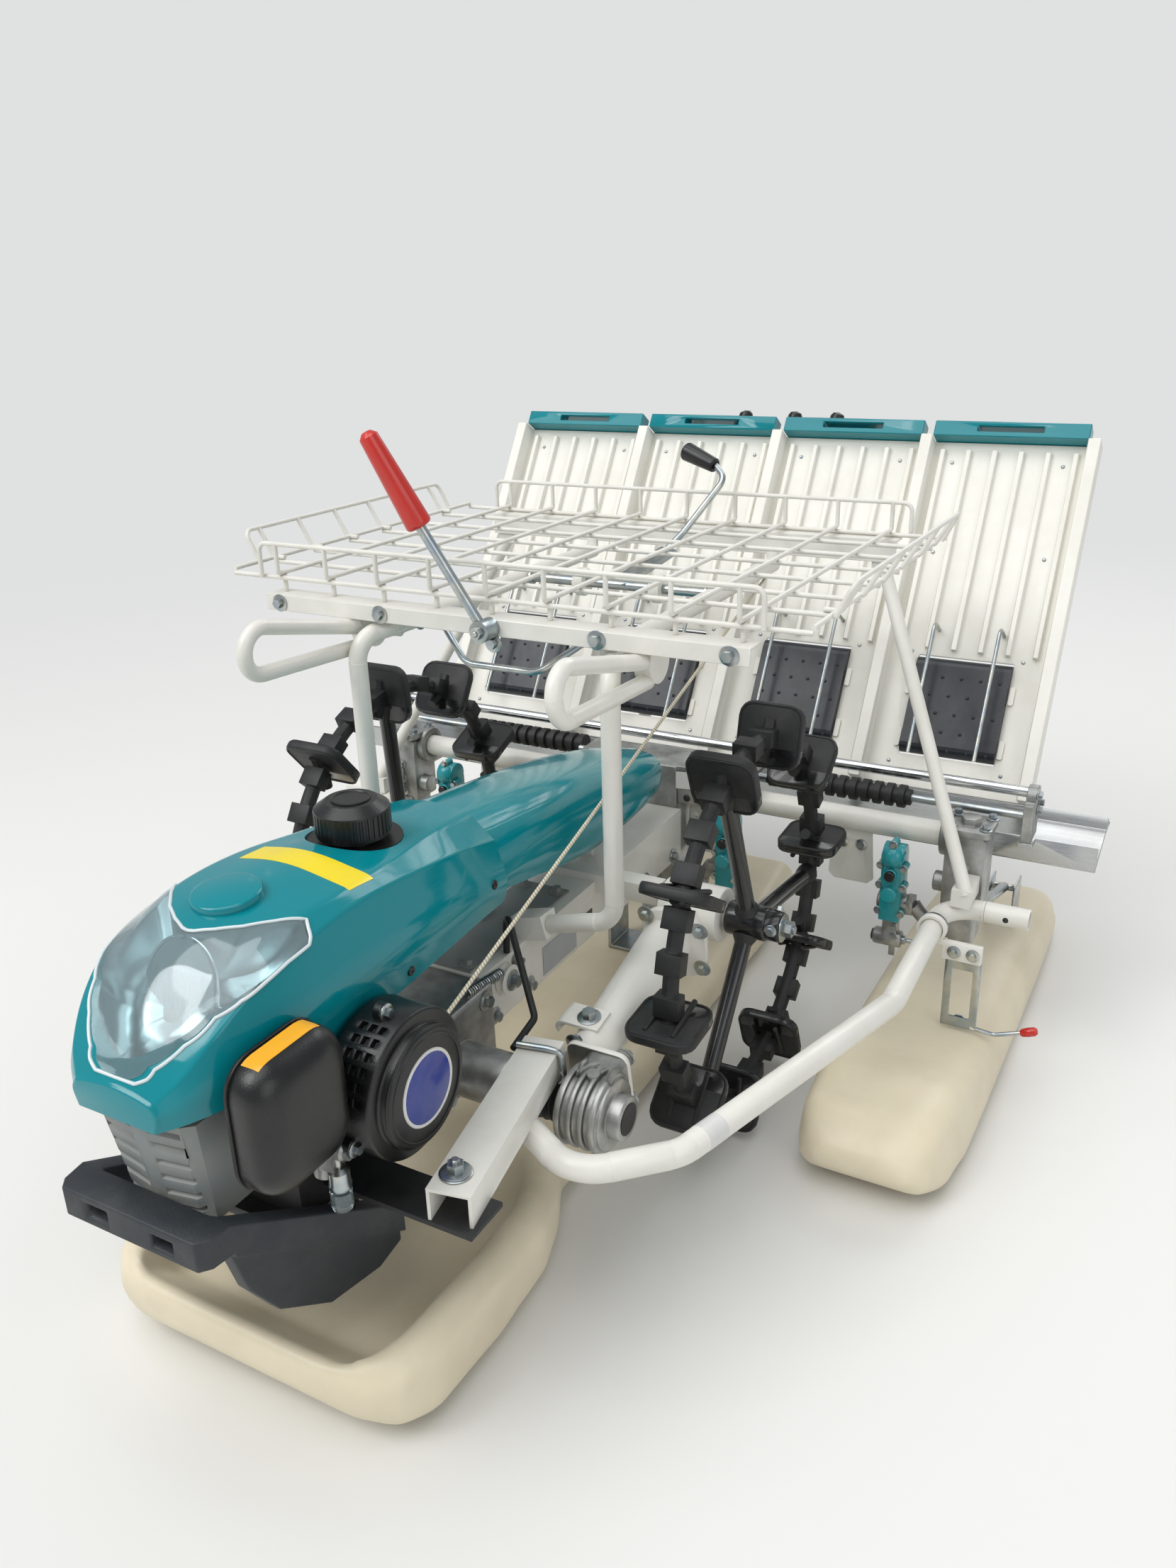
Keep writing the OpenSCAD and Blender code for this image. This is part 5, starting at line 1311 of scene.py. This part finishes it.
class TRANSPLANTER_OT_planting(bpy.types.Operator):
    """Makes the bolts, bulbs, plugs and labels of the planting arms, gear cases and beam"""

    bl_idname = "transplanter.planting"
    bl_label = "Planting pieces"

    def execute(self, context):
        across = context.scene.transplanter_sizes.bolt_across / MM * 0.6
        for number, x in enumerate(ROWS, start=1):
            bulbs, plugs, screws = bmesh.new(), bmesh.new(), bmesh.new()
            for y, z, profile in ((326, 330, [(19.5, 0), (19.5, 14), (18, 20), (13, 26), (6, 29), (0, 30)]),
                                  (298, 266, [(13, -1), (13, 2), (11.5, 3.6), (0, 4)])):
                lathe(bulbs, aimed(mm(x, y, z), -Y_AXIS), profile, 28)
            ears = ((-19, 312), (19, 312), (-19, 276), (19, 276), (-19, 228), (19, 228), (0, 352))
            for dx, z in ears:
                lathe(bulbs, aimed(mm(x + dx, 330, z), -Y_AXIS), [(6.5, 0), (6.5, 18), (5.6, 19), (0, 19)], 16)
                bolt(screws, mm(x + dx, 311, z), -Y_AXIS, across * 0.8, 1.0)
            lathe(plugs, aimed(mm(x, 300, 300), -Y_AXIS), [(9, -1), (9, 5), (7.5, 6.4), (0, 6.6)], 24)
            lathe(plugs, aimed(mm(x - 28.2, 331, 170), -X_AXIS), [(10, 0), (10, 3), (8, 4), (0, 4)], 24)
            for dz in (-8, 8):
                bolt(screws, mm(x + 8, 318, 190 + dz), -Y_AXIS, across * 0.7, 1.0)
            lathe(screws, aimed(mm(x + 20, 331, 170), X_AXIS),
                  [(8, 0), (8, 6), (4, 8), (4, 18), (2.6, 20), (0, 20)], 16)
            piece("arm_bulb_%d" % number, bulbs, "teal_paint")
            piece("arm_plugs_%d" % number, plugs, "black_abs")
            piece("arm_screws_%d" % number, screws, "zinc")
        self.beam(across)
        return {"FINISHED"}

    def beam(self, across):
        """The label, plugs and bolts of the planting beam, its gearbox and its gear cases."""
        for name, look, start, wide, high, thickness in (
                ("beam_label", "white_label", (52, 200, 384), 88, 32, 0.6),
                ("beam_label_mark", "black_label", (56, 200, 387), 8, 26, 0.9)):
            label(name, "white_paint", look, "planting_gearbox", start, (wide, 0, 0), (0, 0, high), (0, 1, 0),
                  thickness, 2, 2)
        plugs, screws = bmesh.new(), bmesh.new()
        for x in (70, 90, 170):
            spot, normal = land(skin_of("planting_gearbox"), (x, 200, 364), (0, 1, 0))
            lathe(plugs, aimed(spot, normal), [(6, 0), (6, 2), (4.6, 3.4), (0, 3.6)], 20)
        piece("beam_plugs", plugs, "black_abs")
        for name, side in SIDES:
            low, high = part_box("gear_case_" + name)
            case = skin_of("gear_case_" + name)
            for dx in (-27.9, 27.9):
                for y in (low[1] / MM + 18, high[1] / MM - 18):
                    spot, normal = land(case, (side * 563 + dx, y, 600), (0, 0, -1))
                    bolt(screws, spot, normal, across * 1.1, 1.0)
            for z in (272, 300, 330):
                spot, normal = land(case, (side * 563, 200, z), (0, 1, 0))
                bolt(screws, spot, normal, across, 1.0)
            for dy, dz in ((15, -12), (-13, 12), (0, -20)):
                bolt(screws, mm(side * 648, 450 + dy, 418 + dz), (side, 0, 0), across, 1.0)
            for x in (349, 381):
                bolt(screws, mm(side * x, 363, 318), -Y_AXIS, across * 0.9, 1.2)
        for x in (-44, 44):
            for z in (196, 240, 300):
                spot, normal = land(skin_of("planting_gearbox"), (x, 100, z), (0, 1, 0))
                bolt(screws, spot, normal, across, 1.0)
        piece("planting_bolts", screws, "zinc")


class TRANSPLANTER_OT_rack(bpy.types.Operator):
    """Makes the rack's bolts and rollers, the basket's uprights and the line markers' bolts and red tips"""

    bl_idname = "transplanter.rack"
    bl_label = "Rack pieces"

    def execute(self, context):
        across = context.scene.transplanter_sizes.bolt_across / MM * 0.75
        bm = bmesh.new()
        for x in (-360, -175, 175, 360):
            spot, normal = land(skin_of("rack_frame"), (x, -400, 797), (0, 1, 0))
            bolt(bm, spot, normal, across)
        bolt(bm, mm(12, -218, 797), -Y_AXIS, across * 1.15, stub=3)
        bolt(bm, mm(16, -190.5, 776), -Y_AXIS, across)
        for side in (1, -1):
            for y in (-116, 203):
                lathe(bm, aimed(mm(side * 161, y, 772), (-side, 0, 0)),
                      [(13, 0), (13, 3), (8, 5), (8, 14), (0, 14)], 20)
        piece("rack_bolts", bm, "zinc")
        bm = bmesh.new()
        for x in (-64, 74):
            lathe(bm, aimed(mm(x, 203, 772), X_AXIS),
                  [(8.2, -9), (21, -9), (23, -6), (23, 6), (21, 9), (8.2, 9)], 32)
        piece("rack_rollers", bm, "white_pp")
        bm = bmesh.new()
        for side in (1, -1):
            at, aim = mm(side * 694, 217.3, 114), Vector((side * 0.8, 0.05, 0.3))
            lathe(bm, aimed(at, aim), [(4.5, 0), (6.5, 3), (7.5, 12), (7.2, 22), (4.5, 26), (0, 27)], 20)
        piece("marker_tips", bm, "red_grip")
        bm = bmesh.new()
        for side in (1, -1):
            for x in (585, 614):
                spot, normal = land(skin_of("line_markers"), (side * x, 100, 243), (0, 1, 0))
                bolt(bm, spot, normal, across * 0.8)
            bolt(bm, mm(side * 599, 210.6, 116), Y_AXIS, across * 0.7)
        piece("marker_bolts", bm, "zinc")
        self.basket_uprights()
        return {"FINISHED"}

    def basket_uprights(self):
        """The short wires between the basket's floor and its raised rails, bent over at both ends."""
        bm = bmesh.new()
        wire, floor, rail = 7, 838, 882
        front, back, half = -172, 468, 460
        for i in range(1, 10):
            x = -half + 2 * half / 10 * i
            for y, inward in ((front - wire, 1), (back + wire, -1)):
                if abs(x) < half - 70:
                    bent = [mm(x, y + inward * 22, floor), mm(x, y, floor), mm(x, y, rail)]
                    tube(bm, rounded(bent, 5), wire / 2)
        for j in range(1, 7):
            y = front + (back - front) / 7 * j
            for side in (1, -1):
                if front + 70 < y < back - 70:
                    bent = [mm(side * (half + out), y, z) for out, z in ((-18, floor), (4, floor), (30, rail))]
                    tube(bm, rounded(bent, 5), wire / 2)
        piece("basket_uprights", bm, "white_wire", smooth=60)


class TRANSPLANTER_OT_tray(bpy.types.Operator):
    """Makes the belt studs, screws and clips of the seedling tray"""

    bl_idname = "transplanter.tray"
    bl_label = "Tray pieces"

    def execute(self, context):
        pitch = context.scene.transplanter_sizes.stud_pitch / MM
        # The tray's slope, and the front edge of its foot
        slope = math.radians(57.6)
        up, out = Vector((0, math.cos(slope), math.sin(slope))), Vector((0, -math.sin(slope), math.cos(slope)))
        low = Vector((0, 553, 395))
        body = "tray"
        low_x, high_x = [corner[0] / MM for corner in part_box("tray_belts")]
        shift = (low_x + high_x) / 2

        def seat(tree, x, height):
            """Where a piece sits on the tray, at x across it and height millimetres up its slope."""
            return land(tree, low + Vector((shift + x, 0, 0)) + up * height + out * 120, -out)

        belts, panel = skin_of("tray_belts"), skin_of("tray_panel")
        studs, screws, clips = bmesh.new(), bmesh.new(), bmesh.new()
        for middle in ROWS:
            # The studs fill a belt's face: 76 mm to each side of its middle, from 42 to 212 mm up the tray
            for i in range(int(150 / pitch) + 1):
                for k in range(int(170 / pitch) + 1):
                    offset = pitch / 2 if k % 2 else 0
                    x, height = middle - 66 + pitch * i + offset, 42 + pitch * k
                    if abs(x - middle) > 76 or height > 212:
                        continue
                    spot, normal = seat(belts, x, height)
                    lathe(studs, aimed(spot, normal), [(3.4, 0), (3, 1.2), (1.8, 2), (0, 2.2)], 10)
            for x in (middle - 100, middle + 100):
                for height in (14, 225, 420, 600):
                    spot, normal = seat(panel, x, height)
                    screw(screws, spot, normal, 7)
            for x in (middle - 92, middle + 92):
                for height in (60, 160):
                    spot, normal = seat(panel, x, height)
                    plate(clips, aimed(spot, normal, up), rectangle(34, 9, 3), 4, 0.8)
        piece("belt_studs", studs, "belt_rubber", body)
        piece("tray_screws", screws, "zinc", body)
        piece("tray_clips", clips, "white_pp", body)
        return {"FINISHED"}


class TRANSPLANTER_OT_controls(bpy.types.Operator):
    """Makes the ribbed sleeves, clutch levers and gear levers with their knobs at the handlebar"""

    bl_idname = "transplanter.controls"
    bl_label = "Controls"

    def execute(self, context):
        for name, side in SIDES:
            bm = bmesh.new()
            profile = [(17, 0), (19.5, 0.5), (19.5, 5)]
            for k in range(9):
                profile += [(17.9, 9 + k * 11), (17.9, 12 + k * 11), (18.6, 14 + k * 11), (18.6, 18 + k * 11)]
            profile += [(18.6, 112), (18.6, 116), (17, 119)]
            lathe(bm, aimed(mm(side * 290, 1131, 856), Y_AXIS), profile, 28)
            piece("handle_sleeve_" + name, bm, "black_rubber")
            bm = bmesh.new()
            lever = [(262, 1086, 858), (262, 1112, 836), (268, 1170, 822), (272, 1226, 826)]
            tube(bm, rounded([mm(side * x, y, z) for x, y, z in lever], 18), 4)
            lathe(bm, aimed(mm(side * 272, 1084, 857), (side, 0, 0)),
                  [(12, -8), (13, -6), (13, 6), (12, 8)], 24)
            piece("clutch_lever_" + name, bm, "zinc")
        stems, knobs = bmesh.new(), bmesh.new()
        panel = skin_of("control_panel")
        for x, lean in ((-90, -0.2), (-20, 0.15), (60, 0.25)):
            spot = land(panel, (x, 1012, 1000), (0, 0, -1))[0]
            top = spot + Vector((lean * 0.1, 0.012, 0.088))
            tube(stems, [spot - Vector((0, 0, 0.004)), top], 4)
            lathe(knobs, aimed(top, top - spot), [(6, -3), (11, 2), (15, 10), (15, 18), (11, 25), (0, 28)], 24)
            lathe(knobs, aimed(spot, Z_AXIS), [(17, -1), (17, 2), (13, 6), (8, 9), (6, 14), (0, 14)], 24)
        piece("gear_lever_stems", stems, "zinc")
        piece("gear_lever_knobs", knobs, "black_abs")
        return {"FINISHED"}


OPERATORS = [
    TRANSPLANTER_OT_finishes, TRANSPLANTER_OT_skins, TRANSPLANTER_OT_stage, TRANSPLANTER_OT_hood,
    TRANSPLANTER_OT_headlamp, TRANSPLANTER_OT_engine, TRANSPLANTER_OT_chassis, TRANSPLANTER_OT_swing_cases,
    TRANSPLANTER_OT_wheels, TRANSPLANTER_OT_planting, TRANSPLANTER_OT_rack, TRANSPLANTER_OT_tray,
    TRANSPLANTER_OT_controls,
]


class TRANSPLANTER_PT_panel(bpy.types.Panel):
    """Lists the dressing steps, the colours and the sizes"""

    bl_idname = "TRANSPLANTER_PT_panel"
    bl_label = "Rice Transplanter"
    bl_space_type = "VIEW_3D"
    bl_region_type = "UI"
    bl_category = "Transplanter"

    def draw(self, context):
        layout = self.layout
        for group in (context.scene.transplanter_looks, context.scene.transplanter_sizes):
            column = layout.column()
            for name in group.__annotations__:
                column.prop(group, name)
        for operator in OPERATORS:
            layout.operator(operator.bl_idname)


CLASSES = [TransplanterLooks, TransplanterSizes, *OPERATORS, TRANSPLANTER_PT_panel]


def register():
    for cls in CLASSES:
        bpy.utils.register_class(cls)
    bpy.types.Scene.transplanter_looks = bpy.props.PointerProperty(type=TransplanterLooks)
    bpy.types.Scene.transplanter_sizes = bpy.props.PointerProperty(type=TransplanterSizes)


def unregister():
    del bpy.types.Scene.transplanter_looks
    del bpy.types.Scene.transplanter_sizes
    for cls in reversed(CLASSES):
        bpy.utils.unregister_class(cls)


def main():
    register()
    for operator in OPERATORS:
        group, name = operator.bl_idname.split(".")
        getattr(getattr(bpy.ops, group), name)()


if __name__ == "__main__":
    main()
